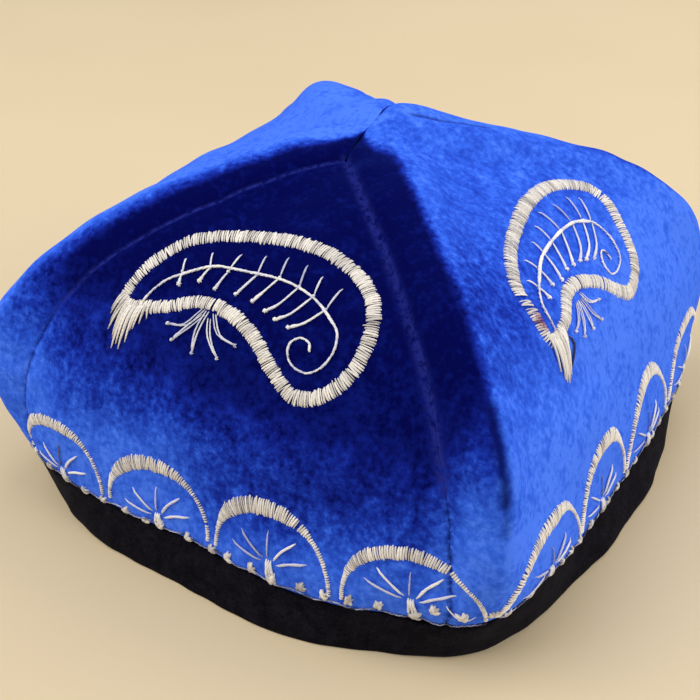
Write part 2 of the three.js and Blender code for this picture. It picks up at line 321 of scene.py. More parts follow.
# Columns: face, where a crease starts and ends, across and up, how broad it is, and how strong, both in
# depth and in the painted shade that darkens it.
# Across stops at the ridge.
CREASES = [
    ("right", (90, 127), (90, 116), 0.7, 0.7),
    ("front", (-49, 80.5), (-47, 68), 0.7, 0.6),
    ("front", (90, 60), (90, 49), 1.8, 0.95),
    ("front", (90, 49), (90, 40), 1.6, 0.9),
    ("front", (90, 40), (90, 32), 1.2, 0.4),
]


def crease_run(face, start, end):
    across, up = np.transpose([start, end]).astype(float)
    return crown_point(*face_place(FACES.index(face), across, up))


CREASE_RUNS = [crease_run(face, start, end) for face, start, end, line, strength in CREASES]


def run_distance(point, start, end):
    """Distance from points to a straight run, from above if the run has only two directions."""
    along = np.subtract(end, start)
    from_start = point[..., :len(along)] - start
    part = np.clip(from_start @ along / (along @ along), 0, 1)
    return np.linalg.norm(from_start - part[..., None] * along, axis=-1)


def seam_distance(point):
    return np.min([run_distance(point, *run) for run in SIDE_SEAMS], axis=0)


print("seams:", 1 + len(SIDE_SEAMS), "creases:", len(CREASES))

# %% Marks of the seams and creases
# Columns, for the side seams: how broad the line is low on the wall and high up, then how strong.
SEAM_LOOKS = [(0.3, 0.3, 0.7, 0.7), (0.6, 1.0, 0.85, 0.5), (0.3, 0.3, 0.7, 0.7), (0.3, 0.3, 0.7, 0.7)]
SEAM_LOOK_HEIGHTS = (42, 60)


def step(value, low, high):
    """0 below low, 1 above high, and a soft step from one to the other."""
    part = np.clip((value - low) / (high - low), 0, 1)
    return part * part * (3 - 2 * part)


def line_mark(point, run, line):
    """1 on a run, and nothing further off than a few times the breadth of its line."""
    return np.exp(-((run_distance(point, *run) / line) ** 2))


def seam_mark(point):
    """How strongly the painted line of a seam shows at these points: painted sheen on dark pile, painted
    shade on bright pile.
    """
    high_up = step(point[..., 2], *SEAM_LOOK_HEIGHTS)
    marks = []
    for run, (low_line, high_line, low_strength, high_strength) in zip(SIDE_SEAMS, SEAM_LOOKS):
        line = low_line + (high_line - low_line) * high_up
        strength = low_strength + (high_strength - low_strength) * high_up
        marks.append(strength * line_mark(point, run, line))
    return np.max(marks, axis=0)


def crease_mark(point):
    """How deep into a crease these points lie, up to the crease's strength."""
    marks = []
    for run, (face, start, end, line, strength) in zip(CREASE_RUNS, CREASES):
        marks.append(strength * line_mark(point, run, line))
    return np.max(marks, axis=0)


print("deepest crease mark:", crease_mark(np.array(CREASE_RUNS)).max().round(2))

# %% [markdown]
# Sewn velvet isn't as smooth as a formula. It dips at each seam, puffs beside it, puckers a little along
# the stitching, rolls under at the hem and has soft dents. A displacement texture could push a finished
# mesh about, but here all of it is one number, how far the cloth swells off the crown, so the gores and
# the stitches on them share it.

# %% Waves in the cloth
rng = np.random.default_rng(11)


def wave_set(length, height, count):
    """Waves of one length that cross the cloth in several directions."""
    ways = unit(rng.normal(size=(count, 3))) * 2 * math.pi / length
    return ways, rng.uniform(0, 2 * math.pi, count), height / math.sqrt(count)


def ripple(point, waves):
    ways, phases, height = waves
    return height * np.sin(point @ ways.T + phases).sum(axis=-1)


DENTS = [wave_set(52, 0.45, 4), wave_set(29, 0.32, 5), wave_set(15, 0.16, 6)]
PUCKERS = wave_set(7.5, 0.24, 3)
print("dent waves:", sum(len(phases) for ways, phases, height in DENTS), "pucker waves:", len(PUCKERS[1]))

# %% Finished cloth
GROOVE_DEPTH = 0.5
GROOVE_SPREAD = 0.6
TOP_GROOVE_DEPTH = 0.12
SHOULDER_RISE = 0.35
SHOULDER_AT = 3.0
SHOULDER_SPREAD = 1.8
CREASE_DEPTH = 0.6
PUCKER_REACH = 6
HEM_ROLL = 0.9
HEM_REACH = 1.5


def swell(point, share):
    """How far the cloth stands off the crown at these points."""
    away = seam_distance(point)
    at_the_seam = SHOULDER_RISE * bell(away - SHOULDER_AT, SHOULDER_SPREAD)
    at_the_seam = at_the_seam - GROOVE_DEPTH * np.exp(-((away / GROOVE_SPREAD) ** 2))
    at_the_seam = at_the_seam - TOP_GROOVE_DEPTH * line_mark(point, TOP_SEAM, GROOVE_SPREAD)
    creased = -CREASE_DEPTH * crease_mark(point)
    puckers = ripple(point, PUCKERS) * bell(away, PUCKER_REACH)
    up = np.interp(share, RULER, UP_MARKS)
    hem = -HEM_ROLL * np.maximum(0, 1 - up / HEM_REACH) ** 2
    return at_the_seam + creased + puckers + hem + sum(ripple(point, waves) for waves in DENTS)


def cloth(angle, share):
    """Points on the finished velvet, and the crown's normals there."""
    point = crown_point(angle, share)
    normal = crown_normal(angle, share)
    return point + swell(point, share)[..., None] * normal, normal


up_the_front = crown_point(np.zeros_like(RULER), RULER)
print("most that the cloth stands off up the front, in mm:", swell(up_the_front, RULER).max().round(2))

# %% [markdown]
# Shader sums read best as plain arithmetic. One small class wraps a socket: adding or multiplying two of
# them adds the Math node, and its method node makes any other kind of node. Settings go in first, because
# they can change which sockets a node has.

# %% Shader wires
class Wire:
    """A socket of a shader, with arithmetic that adds Math nodes."""

    def __init__(self, tree, socket=None):
        self.tree = tree
        self.socket = socket

    def node(self, kind, settings, values, out=0):
        made = self.tree.nodes.new(kind)
        for name, value in settings.items():
            if name == "stops":
                made.color_ramp.elements[0].position = value[0][0]
                made.color_ramp.elements[0].color = (*value[0][1], 1)
                made.color_ramp.elements[1].position = value[-1][0]
                made.color_ramp.elements[1].color = (*value[-1][1], 1)
                for place, colour in value[1:-1]:
                    made.color_ramp.elements.new(place).color = (*colour, 1)
            else:
                setattr(made, name, value)
        for key, value in values.items():
            if isinstance(value, Wire):
                self.tree.links.new(value.socket, made.inputs[key])
            else:
                made.inputs[key].default_value = value
        return Wire(self.tree, made.outputs[out]) if made.outputs else None

    def maths(self, operation, first, second, third=0.0):
        values = {0: first, 1: second, 2: third}
        return self.node("ShaderNodeMath", {"operation": operation}, values)

    def __add__(self, other):
        return self.maths("ADD", self, other)

    __radd__ = __add__

    def __sub__(self, other):
        return self.maths("SUBTRACT", self, other)

    def __rsub__(self, other):
        return self.maths("SUBTRACT", other, self)

    def __mul__(self, other):
        return self.maths("MULTIPLY", self, other)

    __rmul__ = __mul__

    def mix(self, low, high):
        """Goes from the colour low to the colour high as this value goes from 0 to 1."""
        return self.node("ShaderNodeMix", {"data_type": "RGBA"}, {0: self, 6: low, 7: high}, out=2)

    def between(self, low, high):
        """0 below low, 1 above high, and a soft step from one to the other."""
        settings = {"interpolation_type": "SMOOTHSTEP"}
        values = {"Value": self, "From Min": low, "From Max": high}
        return self.node("ShaderNodeMapRange", settings, values)


print("sums that a wire knows:", [name for name in vars(Wire) if name.endswith(("add__", "sub__", "mul__"))])

# %% Parts of a finish
NOISE_ROUGHNESS = 0.6
EVEN = (1, 1, 1)


def new_finish(name):
    """An empty material and a wire to build its nodes with."""
    finish = bpy.data.materials.new(name)
    finish.use_nodes = True
    finish.node_tree.nodes.clear()
    return finish, Wire(finish.node_tree)


def close_finish(wire, values):
    """Ends a material in one Principled shader with these values."""
    shader = wire.node("ShaderNodeBsdfPrincipled", {}, values)
    wire.node("ShaderNodeOutputMaterial", {}, {"Surface": shader})


def speckle(wire, lumps, detail=2.0, stretch=EVEN):
    """Noise on object coordinates, with so many lumps in a metre."""
    place = wire.node("ShaderNodeTexCoord", {}, {}, out="Object")
    place = wire.node("ShaderNodeMapping", {"vector_type": "POINT"}, {"Vector": place, "Scale": stretch})
    values = {"Vector": place, "Scale": lumps, "Detail": detail, "Roughness": NOISE_ROUGHNESS}
    return wire.node("ShaderNodeTexNoise", {}, values, out="Fac")


def attribute(wire, name, out="Fac"):
    return wire.node("ShaderNodeAttribute", {"attribute_name": name}, {}, out=out)


def ramp(wire, place, stops):
    return wire.node("ShaderNodeValToRGB", {"stops": stops}, {"Fac": place})


def raised(wire, height, depth, strength):
    """A bump of this depth in millimetres."""
    values = {"Height": height, "Distance": depth * MM, "Strength": strength}
    return wire.node("ShaderNodeBump", {}, values)


print("roughness of every noise:", NOISE_ROUGHNESS)

# %% [markdown]
# Velvet is a short dense pile. Seen face on it looks nearly black-blue, and seen edge on it is bright, and
# that light and dark is painted into its colour: each vertex carries a value of painted shade, high for
# painted shade and low for bright pile with painted sheen. Noise of several sizes breaks that up into
# brushed patches, a ramp turns the painted shade into colour, and the sheen adds the bright rim that a pile
# has where it is seen edge on. Hair could stand for the pile, but it would be finer than a pixel here.

# %% Velvet finish
# Colour of the pile, from bright blue with painted sheen to nearly black painted shade.
PILE_AND_SHADE_STOPS = [
    (0.0, (0.072, 0.205, 1.0)),
    (0.12, (0.040, 0.142, 0.86)),
    (0.25, (0.024, 0.092, 0.68)),
    (0.5, (0.0100, 0.038, 0.43)),
    (0.75, (0.0048, 0.0140, 0.24)),
    (1.0, (0.0008, 0.0015, 0.068)),
]
# Columns: lumps in a metre, detail and stretch of each noise, and how far it sways the lie of the pile.
VELVET_NOISES = {
    "clouds": (42, 3, EVEN, 0.18),
    "patches": (150, 2, EVEN, 0.42),
    "brushed": (600, 2, EVEN, 0.56),
    "streaks": (300, 2, (1, 1, 0.22), 0.30),
    "pile": (1400, 2, EVEN, 0.26),
}
# The noise is liveliest where the painted shade is half-way. Columns: between which values of it the noise
# changes, by how much.
LIVELY = 0.75
LIVELY_RISE = (0.1, 0.45, 0.75)
LIVELY_FALL = (0.6, 1.0, 1.1)
# A seam's line is painted: a pale line of painted sheen on its folded edges where the pile is dark, and a
# navy line of painted shade in its groove where the pile is bright.
SEAM_SHADE_RANGE = (0.35, 0.8)
SEAM_SHEEN_ON_DARK = (0.032, 0.045, 0.40, 1)
SEAM_SHADE_ON_BRIGHT = (0.006, 0.014, 0.16, 1)
SEAM_BREAKS = (0.3, 0.6)
# Painted shade in the fold of each crease.
CREASE_SHADE = (0.002, 0.004, 0.09, 1)
VELVET_SHEEN = (0.03, 0.13, 1.0, 1)


def velvet_finish():
    finish, wire = new_finish("royal_velvet")
    # This attribute is painted light and shade: 1 is dark painted shade, 0 is bright pile with painted
    # sheen.
    nap = attribute(wire, "nap")
    noise = {}
    uneven = 0
    for name, (lumps, detail, stretch, sway) in VELVET_NOISES.items():
        noise[name] = speckle(wire, lumps, detail, stretch)
        uneven = uneven + (noise[name] - 0.5) * sway
    lively = LIVELY + nap.between(*LIVELY_RISE[:2]) * LIVELY_RISE[2]
    lively = lively - nap.between(*LIVELY_FALL[:2]) * LIVELY_FALL[2]
    # The ramp paints that shade and sheen into the pile's colour.
    colour = ramp(wire, nap + uneven * lively, PILE_AND_SHADE_STOPS)
    # Painted sheen and shade along each seam, in broken lengths.
    at_the_seam = nap.between(*SEAM_SHADE_RANGE).mix(SEAM_SHADE_ON_BRIGHT, SEAM_SHEEN_ON_DARK)
    seam_line = noise["brushed"].between(*SEAM_BREAKS) * attribute(wire, "seam")
    colour = seam_line.mix(colour, at_the_seam)
    # The creases are darkened with painted shade.
    colour = attribute(wire, "crease").mix(colour, CREASE_SHADE)
    close_finish(wire, {
        "Base Color": colour,
        "Roughness": 0.92,
        "Specular IOR Level": 0.02,
        "Sheen Weight": 0.45,
        "Sheen Roughness": 0.35,
        "Sheen Tint": VELVET_SHEEN,
        "Normal": raised(wire, noise["pile"] * 0.5 + noise["brushed"] * 1.2, 0.35, 0.4),
    })
    return finish


velvet = velvet_finish()
print("finish:", velvet.name, "nodes:", len(velvet.node_tree.nodes))

# %% [markdown]
# The back of the velvet is plain cotton, seen only by turning the cap over. It could be woven from two
# wave textures, but a fine check of noise along two directions is enough for a weave that small.

# %% Cotton back finish
WEAVE_LUMPS = 900
WEAVE_STRETCHES = ((1, 1, 3), (3, 3, 1))
COTTON_DARK = (0.012, 0.018, 0.10, 1)
COTTON_PALE = (0.03, 0.045, 0.20, 1)


def cotton_back_finish():
    finish, wire = new_finish("cotton_back")
    upright, level_thread = (speckle(wire, WEAVE_LUMPS, 2, stretch) for stretch in WEAVE_STRETCHES)
    weave = upright * 0.5 + level_thread * 0.5
    close_finish(wire, {
        "Base Color": weave.between(0.3, 0.7).mix(COTTON_DARK, COTTON_PALE),
        "Roughness": 0.95,
        "Specular IOR Level": 0.1,
        "Normal": raised(wire, weave, 0.25, 0.5),
    })
    return finish


cotton_back = cotton_back_finish()
print("finish:", cotton_back.name, "nodes:", len(cotton_back.node_tree.nodes))

# %% [markdown]
# The light and dark of the velvet are painted over the cap. Painted shade lies dark on the upper front
# and, more faintly, on the back, and painted sheen is bright on both sides and along the edge. A few soft
# steps in face lengths describe that better than a painted picture, because they can be corrected.

# %% Painted shade of the front and back
SHADE_EDGE = 24
SHADE_REACH = 26
# Columns: on which hand, from and to how far across the edge of the painted shade rises, and by how much.
SHADE_EDGE_RISES = [(-1, 0, 18, 12), (-1, 48, 62, 16), (1, 54, 70, 28)]
SHADE_TOP = (124.5, 128.5)
BACK_SHADE = 0.65
BACK_SHADE_TOP = (70, 105)
LOW_SHADE = 0.08
MID_SHADE = 0.94
MID_SHADE_UP = (50, 75)
shade_edge_waves = wave_set(34, 4, 5)


def wedge_painted_shade(over, up, point):
    """How dark the narrow front and back gores are painted, as painted shade."""
    edge = SHADE_EDGE + ripple(point, shade_edge_waves)
    for hand, low, high, rise in SHADE_EDGE_RISES:
        edge = edge + rise * step(hand * over, low, high)
    dark = step(up, edge - SHADE_REACH, edge + SHADE_REACH)
    deep = MID_SHADE + (1 - MID_SHADE) * step(up, *MID_SHADE_UP)
    front = LOW_SHADE + (deep - LOW_SHADE) * dark * (1 - step(up, *SHADE_TOP))
    back = LOW_SHADE + BACK_SHADE * dark * (1 - step(up, *BACK_SHADE_TOP))
    return np.where(point[..., 1] > 0, back, front)


print("nap edge in mm up the face:", SHADE_EDGE, "and its waves:", len(shade_edge_waves[1]))

# %% Painted shade of the sides, and where it turns
# Painted shade on the sides: a little all over, more high up on the right face and in two patches there.
SIDE_SHADE = 0.02
HIGH_SIDE_SHADE = 0.17
HIGH_SIDE_SHADE_UP = (48, 88)
# Columns, on the right face: how much darker a patch is painted, as painted shade, its place across and up,
# and both spreads.
RIGHT_SHADE_PATCHES = [(0.30, -44, 73, 20, 17), (0.06, 2, 70, 22, 12)]
# Where the painted shade of the front and back gives way to that of the sides at a ridge, in millimetres
# before and past it.
RIDGE_TURN = (-1.0, 3.5)
LEFT_RIDGE_TURN = (-9.0, 2.5)


def side_painted_shade(over, across, up):
    """How dark the right and left gores are painted, as painted shade."""
    right = HIGH_SIDE_SHADE * step(up, *HIGH_SIDE_SHADE_UP)
    for rise, patch_across, patch_up, spread_across, spread_up in RIGHT_SHADE_PATCHES:
        patch = bell(across - patch_across, spread_across) * bell(up - patch_up, spread_up)
        right = right + rise * patch
    return SIDE_SHADE + np.where(over > 0, right, 0)


def painted_shade_at(angle, share, point):
    """How dark the velvet is painted, from 0, bright with painted sheen, to 1, dark painted shade."""
    side = np.round(angle / QUARTER).astype(int)
    across, up = place_on_face(angle - side * QUARTER, share)
    side = side % len(FACES)
    reach = marks_at(share)[..., -1]
    wedge = side % 2 == 0
    past_ridge = np.where(wedge, -1, 1) * (reach - np.abs(across))
    over = np.where(wedge, across * (1 - side), reach * (2 - side))
    turn_from = np.where(over < 0, LEFT_RIDGE_TURN[0], RIDGE_TURN[0])
    turn_to = np.where(over < 0, LEFT_RIDGE_TURN[1], RIDGE_TURN[1])
    on_wedge = 1 - step(past_ridge, turn_from, turn_to)
    return on_wedge * wedge_painted_shade(over, up, point) + (1 - on_wedge) * side_painted_shade(over, across, up)


print("nap up the front:", painted_shade_at(np.zeros_like(RULER), RULER, up_the_front)[::30].round(2))

# %% [markdown]
# Each gore is a flat grid bent onto the crown, cut along its seams and given the thickness of the cloth.
# A knife project would need a view, and a Boolean would leave ragged triangles. Cutting with planes keeps
# the seams straight from above, and a few more cuts beside each seam give the groove its rows.

# %% Cutting a gore to its seams
SEAM_GAP = 0.06
SEAM_ROWS = (0.3, 0.65, 1.1, 1.8, 3.0, 4.6)
SLIVER = 2e-3
WEDGES = ("front", "back")


def seam_planes(face):
    """Planes that bound a gore, each as its outward way in plan and its distance from the middle."""
    slant = math.sqrt(0.5)
    if face in WEDGES:
        inward = 1 if face == "front" else -1
        return [((hand * slant, inward * slant), -SEAM_OFFSET - SEAM_GAP / 2) for hand in (-1, 1)]
    inward = -1 if face == "right" else 1
    planes = [((inward * slant, hand * slant), SEAM_OFFSET - SEAM_GAP / 2) for hand in (-1, 1)]
    return planes + [((inward, 0), -SEAM_GAP / 2)]


def cut_gore(sheet, face):
    """Cuts a bent sheet to its seams, then adds rows of vertices beside them."""
    for way, limit in seam_planes(face):
        for inset in (0, *SEAM_ROWS):
            bmesh.ops.bisect_plane(
                sheet,
                geom=sheet.verts[:] + sheet.edges[:] + sheet.faces[:],
                plane_co=(way[0] * (limit - inset), way[1] * (limit - inset), 0),
                plane_no=(*way, 0),
                clear_outer=inset == 0,
            )
    bmesh.ops.dissolve_degenerate(sheet, dist=SLIVER, edges=sheet.edges[:])


print("cuts to each gore:", {face: len(seam_planes(face)) * (1 + len(SEAM_ROWS)) for face in FACES})

# %% [markdown]
# A vertex has to remember where on the crown it lies, also after a cut has split its edge. A list kept
# beside the mesh would lose its order, but a float layer is blended by every cut. The same kind of layer
# later carries the painted shade, the seams and the creases to the shader.

# %% Layers on a sheet
def corners_of(verts):
    return np.array([vert.co[:] for vert in verts])


def move(verts, points):
    for vert, point in zip(verts, points):
        vert.co = point


def read_layer(sheet, name, verts):
    layer = sheet.verts.layers.float[name]
    return np.array([vert[layer] for vert in verts])


def write_layer(sheet, name, values):
    layer = sheet.verts.layers.float.new(name)
    for vert, value in zip(sheet.verts, values):
        vert[layer] = value


PLACE_LAYERS = ("turn", "share")
LOOK_LAYERS = ("nap", "seam", "crease")
print("layers for the place:", PLACE_LAYERS, "and for the look:", LOOK_LAYERS)

# %% [markdown]
# The cloth is two millimetres thick with its backing. A Solidify modifier follows the mesh's own bumpy
# normals. An extrusion of the whole sheet, drawn in along the crown's smooth normals, makes an even wall,
# and its inside gets the cotton back as a second material.

# %% Wall of a gore
CLOTH = 2.0


def line_inside(sheet, side):
    """Gives an open sheet its wall: a copy drawn in along the crown's normals, with its edges closed."""
    made = bmesh.ops.extrude_face_region(sheet, geom=sheet.faces[:])["geom"]
    verts = [part for part in made if isinstance(part, bmesh.types.BMVert)]
    turns, shares = (read_layer(sheet, name, verts) for name in PLACE_LAYERS)
    move(verts, corners_of(verts) - CLOTH * crown_normal(side * QUARTER + turns, shares))
    for part in made:
        if isinstance(part, bmesh.types.BMFace):
            part.material_index = 1
    bmesh.ops.recalc_face_normals(sheet, faces=sheet.faces[:])


print("cloth in mm:", CLOTH)

# %% [markdown]
# Every piece ends in the same way: it becomes a mesh in metres, gets its finishes, rides on the one rigid
# body of the cap and hides the solid it stands for. Each cell could do that by itself, but one function
# keeps the pieces alike. Smooth shading with sharp hems is set here too.

# %% Handing over a piece
BODY = "root"
SHARP_ANGLE = math.radians(55)


def place_piece(mesh, name, finishes, slot, *nodes):
    for finish in finishes:
        mesh.materials.append(finish)
    piece = bpy.data.objects.new(name, mesh)
    bpy.context.collection.objects.link(piece)
    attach(piece, BODY)
    if nodes:
        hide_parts(*nodes)
    return piece


def finish_piece(sheet, name, finishes, slot, *nodes):
    """Turns a shaped bmesh in millimetres into a piece that rides on the cap."""
    bmesh.ops.scale(sheet, vec=(MM, MM, MM), verts=sheet.verts[:])
    mesh = bpy.data.meshes.new(name)
    sheet.to_mesh(mesh)
    sheet.free()
    mesh.shade_smooth()
    mesh.set_sharp_from_angle(angle=SHARP_ANGLE)
    return place_piece(mesh, name, finishes, slot, *nodes)


print("every piece rides on:", BODY)

# %% [markdown]
# The front and back gores are wedges that stop short of the ridges, and the right and left ones reach over
# them. Each kind could have its own builder, but one function sews both, from a grid that spans one or two
# half-faces each way. Its columns stand closer at the ridges, where the fold bends most.

# %% Sewing a gore
GORE_ROWS = 130
ROW_START = 0.35
WELD = 1e-4


def column_turn(place):
    """Turn in half-faces for a grid column, with the columns closer together at the ridges."""
    inner = np.sin(np.clip(place, -1, 1) * QUARTER)
    outer = np.sign(place) * (2 - np.sin((2 - np.abs(place)) * QUARTER))
    return np.where(np.abs(place) <= 1, inner, outer)


def bent_sheet(side, columns, reach):
    """A grid bent onto the crown; reach counts how many half-faces it spans each way from mid-face."""
    sheet = bmesh.new()
    bmesh.ops.create_grid(sheet, x_segments=columns, y_segments=GORE_ROWS, size=1)
    flat = corners_of(sheet.verts)
    rows = (flat[:, 1] + 1) / 2
    turns = column_turn(flat[:, 0] * reach) * HALF_FACE
    shares = rows * (ROW_START + (1 - ROW_START) * rows)
    move(sheet.verts, crown_point(side * QUARTER + turns, shares))
    for name, values in zip(PLACE_LAYERS, (turns, shares)):
        write_layer(sheet, name, values)
    bmesh.ops.remove_doubles(sheet, verts=sheet.verts[:], dist=WELD)
    return sheet


def sew_gore(face, columns, reach):
    side = FACES.index(face)
    sheet = bent_sheet(side, columns, reach)
    cut_gore(sheet, face)
    turns, shares = (read_layer(sheet, name, sheet.verts) for name in PLACE_LAYERS)
    angles = side * QUARTER + turns
    points = corners_of(sheet.verts)
    looks = (painted_shade_at(angles, shares, points), seam_mark(points), crease_mark(points))
    for name, values in zip(LOOK_LAYERS, looks):
        write_layer(sheet, name, values)
    move(sheet.verts, points + swell(points, shares)[:, None] * crown_normal(angles, shares))
    line_inside(sheet, side)
    for name in PLACE_LAYERS:
        sheet.verts.layers.float.remove(sheet.verts.layers.float[name])
    print(face, "gore in cubic cm:", round(sheet.calc_volume(signed=True) / 1000, 1))
    return finish_piece(sheet, f"{face}_gore_velvet", (velvet, cotton_back), "velvet", f"{face}_gore")


# %% Four gores
WEDGE_COLUMNS = 132
SIDE_COLUMNS = 236
for face in FACES:
    if face in WEDGES:
        gore = sew_gore(face, WEDGE_COLUMNS, 1)
    else:
        gore = sew_gore(face, SIDE_COLUMNS, 2)
    print(gore.name, "faces:", len(gore.data.polygons))

# %% [markdown]
# The binding of the rim is black velvet too, worn and a little dusty. One flat black would look like a
# hole, so noise of two sizes mottles it, and a third, cut off sharply, leaves pale specks.

# %% Black velvet finish
BAND_DARK = (0.0024, 0.0021, 0.0038, 1)
BAND_PALE = (0.010, 0.0095, 0.0155, 1)
BAND_SHEEN = (0.5, 0.5, 0.7, 1)
DUST = (0.06, 0.06, 0.08, 1)
DUST_LUMPS = 2600
DUST_CUT = (0.66, 0.80)
DUST_COVER = 0.25


def band_finish():
    finish, wire = new_finish("black_velvet")
    pile = speckle(wire, 1500, 2)
    brushed = speckle(wire, 260, 4)
    dust = speckle(wire, DUST_LUMPS, 1).between(*DUST_CUT)
    mottle = (pile * 0.5 + brushed * 0.5).between(0.35, 0.7)
    colour = (dust * DUST_COVER).mix(mottle.mix(BAND_DARK, BAND_PALE), DUST)
    close_finish(wire, {
        "Base Color": colour,
        "Roughness": 0.92,
        "Specular IOR Level": 0.04,
        "Sheen Weight": 0.03,
        "Sheen Roughness": 0.4,
        "Sheen Tint": BAND_SHEEN,
        "Normal": raised(wire, pile + brushed, 0.4, 0.5),
    })
    return finish


black_velvet = band_finish()
print("finish:", black_velvet.name, "nodes:", len(black_velvet.node_tree.nodes))

# %% [markdown]
# The rim is bound with a strip of that velvet, folded to a soft, fat edge. It could be swept along a
# curve, but the rim is square with round corners and leans out upwards, so a grid is wrapped round both
# the cap and the strip's own section and its ends are welded.

# %% Rim band
RIM_FACE = 86
RIM_CORNER = 95.9
BAND_GAP = 0.3
BAND_THICKNESS = 3
BAND_COLUMNS = 288
BAND_SIDES = 36
BAND_SQUARENESS = 5
BAND_WELD = 1e-3
band_waves = [wave_set(26, 0.35, 5), wave_set(9, 0.16, 6)]


def squared(value):
    """A sine or cosine pushed out towards a square's side."""
    return np.sign(value) * np.abs(value) ** (2 / BAND_SQUARENESS)


def band_points(angle, about):
    """Points of the band: round the cap by angle, and about the strip's own section."""
    edge = crown_point(angle, np.zeros_like(angle))
    top = edge[..., 2] - BAND_GAP
    foot_radius = section_radius(RIM_FACE, RIM_CORNER, turn_on_face(angle)) - depth_at(RIM_DRAWS, angle)
    top_radius = np.hypot(edge[..., 0], edge[..., 1])
    out = squared(np.cos(about))
    height = top * (1 + squared(np.sin(about))) / 2
    radius = foot_radius + (top_radius - foot_radius) * height / edge[..., 2]
    radius = radius - BAND_THICKNESS * (1 - out) / 2
    point = np.stack([radius * np.sin(angle), -radius * np.cos(angle), height], axis=-1)
    soft = sum(ripple(point, waves) for waves in band_waves) * np.maximum(out, 0)
    return point * (1 + soft / radius)[..., None] ** np.array([1, 1, 0])


ring = bmesh.new()
bmesh.ops.create_grid(ring, x_segments=BAND_COLUMNS, y_segments=BAND_SIDES, size=1)
flat = corners_of(ring.verts) * math.pi
move(ring.verts, band_points(flat[:, 0], flat[:, 1]))
bmesh.ops.remove_doubles(ring, verts=ring.verts[:], dist=BAND_WELD)
bmesh.ops.recalc_face_normals(ring, faces=ring.faces[:])
print("band volume in cubic cm:", round(ring.calc_volume(signed=True) / 1000, 1))
band = finish_piece(ring, "rim_band_binding", (black_velvet,), "band", "rim_band")
print(band.name, "faces:", len(band.data.polygons))

# %% [markdown]
# The embroidery is silk floss. A stitch is one small tube that dives into the velvet at both ends, and
# there are thousands of them, so one tube is modelled with a few extrusions and then laid along every
# path by array sums. Geometry Nodes could do the same, but here each stitch also bends over the cloth.

# %% One strand
SIDES = 6
STATIONS = 7


def strand_pattern():
    """Corners and faces of one strand: a closed tube with a ring at each station."""
    tube = bmesh.new()
    bmesh.ops.create_circle(tube, cap_ends=False, segments=SIDES, radius=1)
    edges = tube.edges[:]
    rims = list(edges)
    for _ in range(STATIONS - 1):
        made = bmesh.ops.extrude_edge_only(tube, edges=edges)["geom"]
        verts = [part for part in made if isinstance(part, bmesh.types.BMVert)]
        edges = [part for part in made if isinstance(part, bmesh.types.BMEdge)]
        edges = [edge for edge in edges if all(vert in verts for vert in edge.verts)]
        bmesh.ops.translate(tube, verts=verts, vec=(0, 0, 1))
    bmesh.ops.edgeloop_fill(tube, edges=rims + edges)
    bmesh.ops.recalc_face_normals(tube, faces=tube.faces[:])
    tube.verts.index_update()
    corners = corners_of(tube.verts)
    faces = [[vert.index for vert in face.verts] for face in tube.faces]
    tube.free()
    return corners, faces


STRAND_CORNERS, STRAND_FACES = strand_pattern()
STRAND_STATIONS = STRAND_CORNERS[:, 2].round().astype(int)
print("strand:", len(STRAND_CORNERS), "corners and", len(STRAND_FACES), "faces")

# %% [markdown]
# All strands of one motif are collected first and sewn into one mesh at the end. An object for each stitch
# would be thousands of objects. Each corner also keeps its length along the strand, its way round it and
# the strand's tone, so the silk finish can twist and shade every stitch by itself.

# %% Needlework on one face
class Needlework:
    """Strands of floss on one face of the cap, sewn into one piece at the end."""

    def __init__(self, face):
        self.face = face
        self.side = FACES.index(face)
        self.paths = []
        self.widths = []
        self.lifts = []
        self.thicknesses = []
        self.tones = []

    def lay(self, path, width, lift, thickness, tone):
        """One strand: its path over the face, and its width, lift and thickness at each station."""
        self.paths.append(path)
        self.widths.append(np.broadcast_to(width, STATIONS))
        self.lifts.append(np.broadcast_to(lift, STATIONS))
        self.thicknesses.append(np.broadcast_to(thickness, STATIONS))
        self.tones.append(tone)

    def stations(self):
        """Points of every strand at its stations, with the ways beside and above it."""
        path = np.array(self.paths)
        point, normal = cloth(*face_place(self.side, path[..., 0], path[..., 1]))
        point = point + np.array(self.lifts)[..., None] * normal
        ahead = unit(np.gradient(point, axis=1))
        beside = unit(np.cross(normal, ahead))
        return point, beside, np.cross(ahead, beside)

    def marks(self, point):
        """Length along, way round and tone at every corner, for the finish."""
        along = lengths_along(point)[:, STRAND_STATIONS]
        around = np.arctan2(STRAND_CORNERS[:, 0], STRAND_CORNERS[:, 1]) / (2 * math.pi)
        tone = np.broadcast_to(np.array(self.tones)[:, None], along.shape)
        return np.stack([along, np.broadcast_to(around, along.shape), tone], axis=-1)

    def sew(self, name, finish, *nodes):
        """Lays every strand over the velvet and joins them into one piece."""
        point, beside, above = self.stations()
        half_width = np.array(self.widths)[:, STRAND_STATIONS, None] / 2
        half_height = np.array(self.thicknesses)[:, STRAND_STATIONS, None] / 2
        corners = point[:, STRAND_STATIONS]
        corners = corners + STRAND_CORNERS[:, 0, None] * half_width * beside[:, STRAND_STATIONS]
        corners = corners + STRAND_CORNERS[:, 1, None] * half_height * above[:, STRAND_STATIONS]
        count = len(STRAND_CORNERS)
        faces = []
        for start in range(0, count * len(point), count):
            faces += [[corner + start for corner in face] for face in STRAND_FACES]
        mesh = bpy.data.meshes.new(name)
        mesh.from_pydata((corners.reshape(-1, 3) * MM).tolist(), [], faces)
        mesh.shade_smooth()
        layer = mesh.attributes.new("strand", "FLOAT_VECTOR", "POINT")
        layer.data.foreach_set("vector", self.marks(point).astype(np.float32).ravel())
        print(name, "strands:", len(point))
        return place_piece(mesh, name, (finish,), "silk", *nodes)


def by_face(most, **others):
    """One value for each face: most of them the same, and the others by name."""
    return {face: others.get(face, most) for face in FACES}


print("needlework for:", list(by_face(0)))

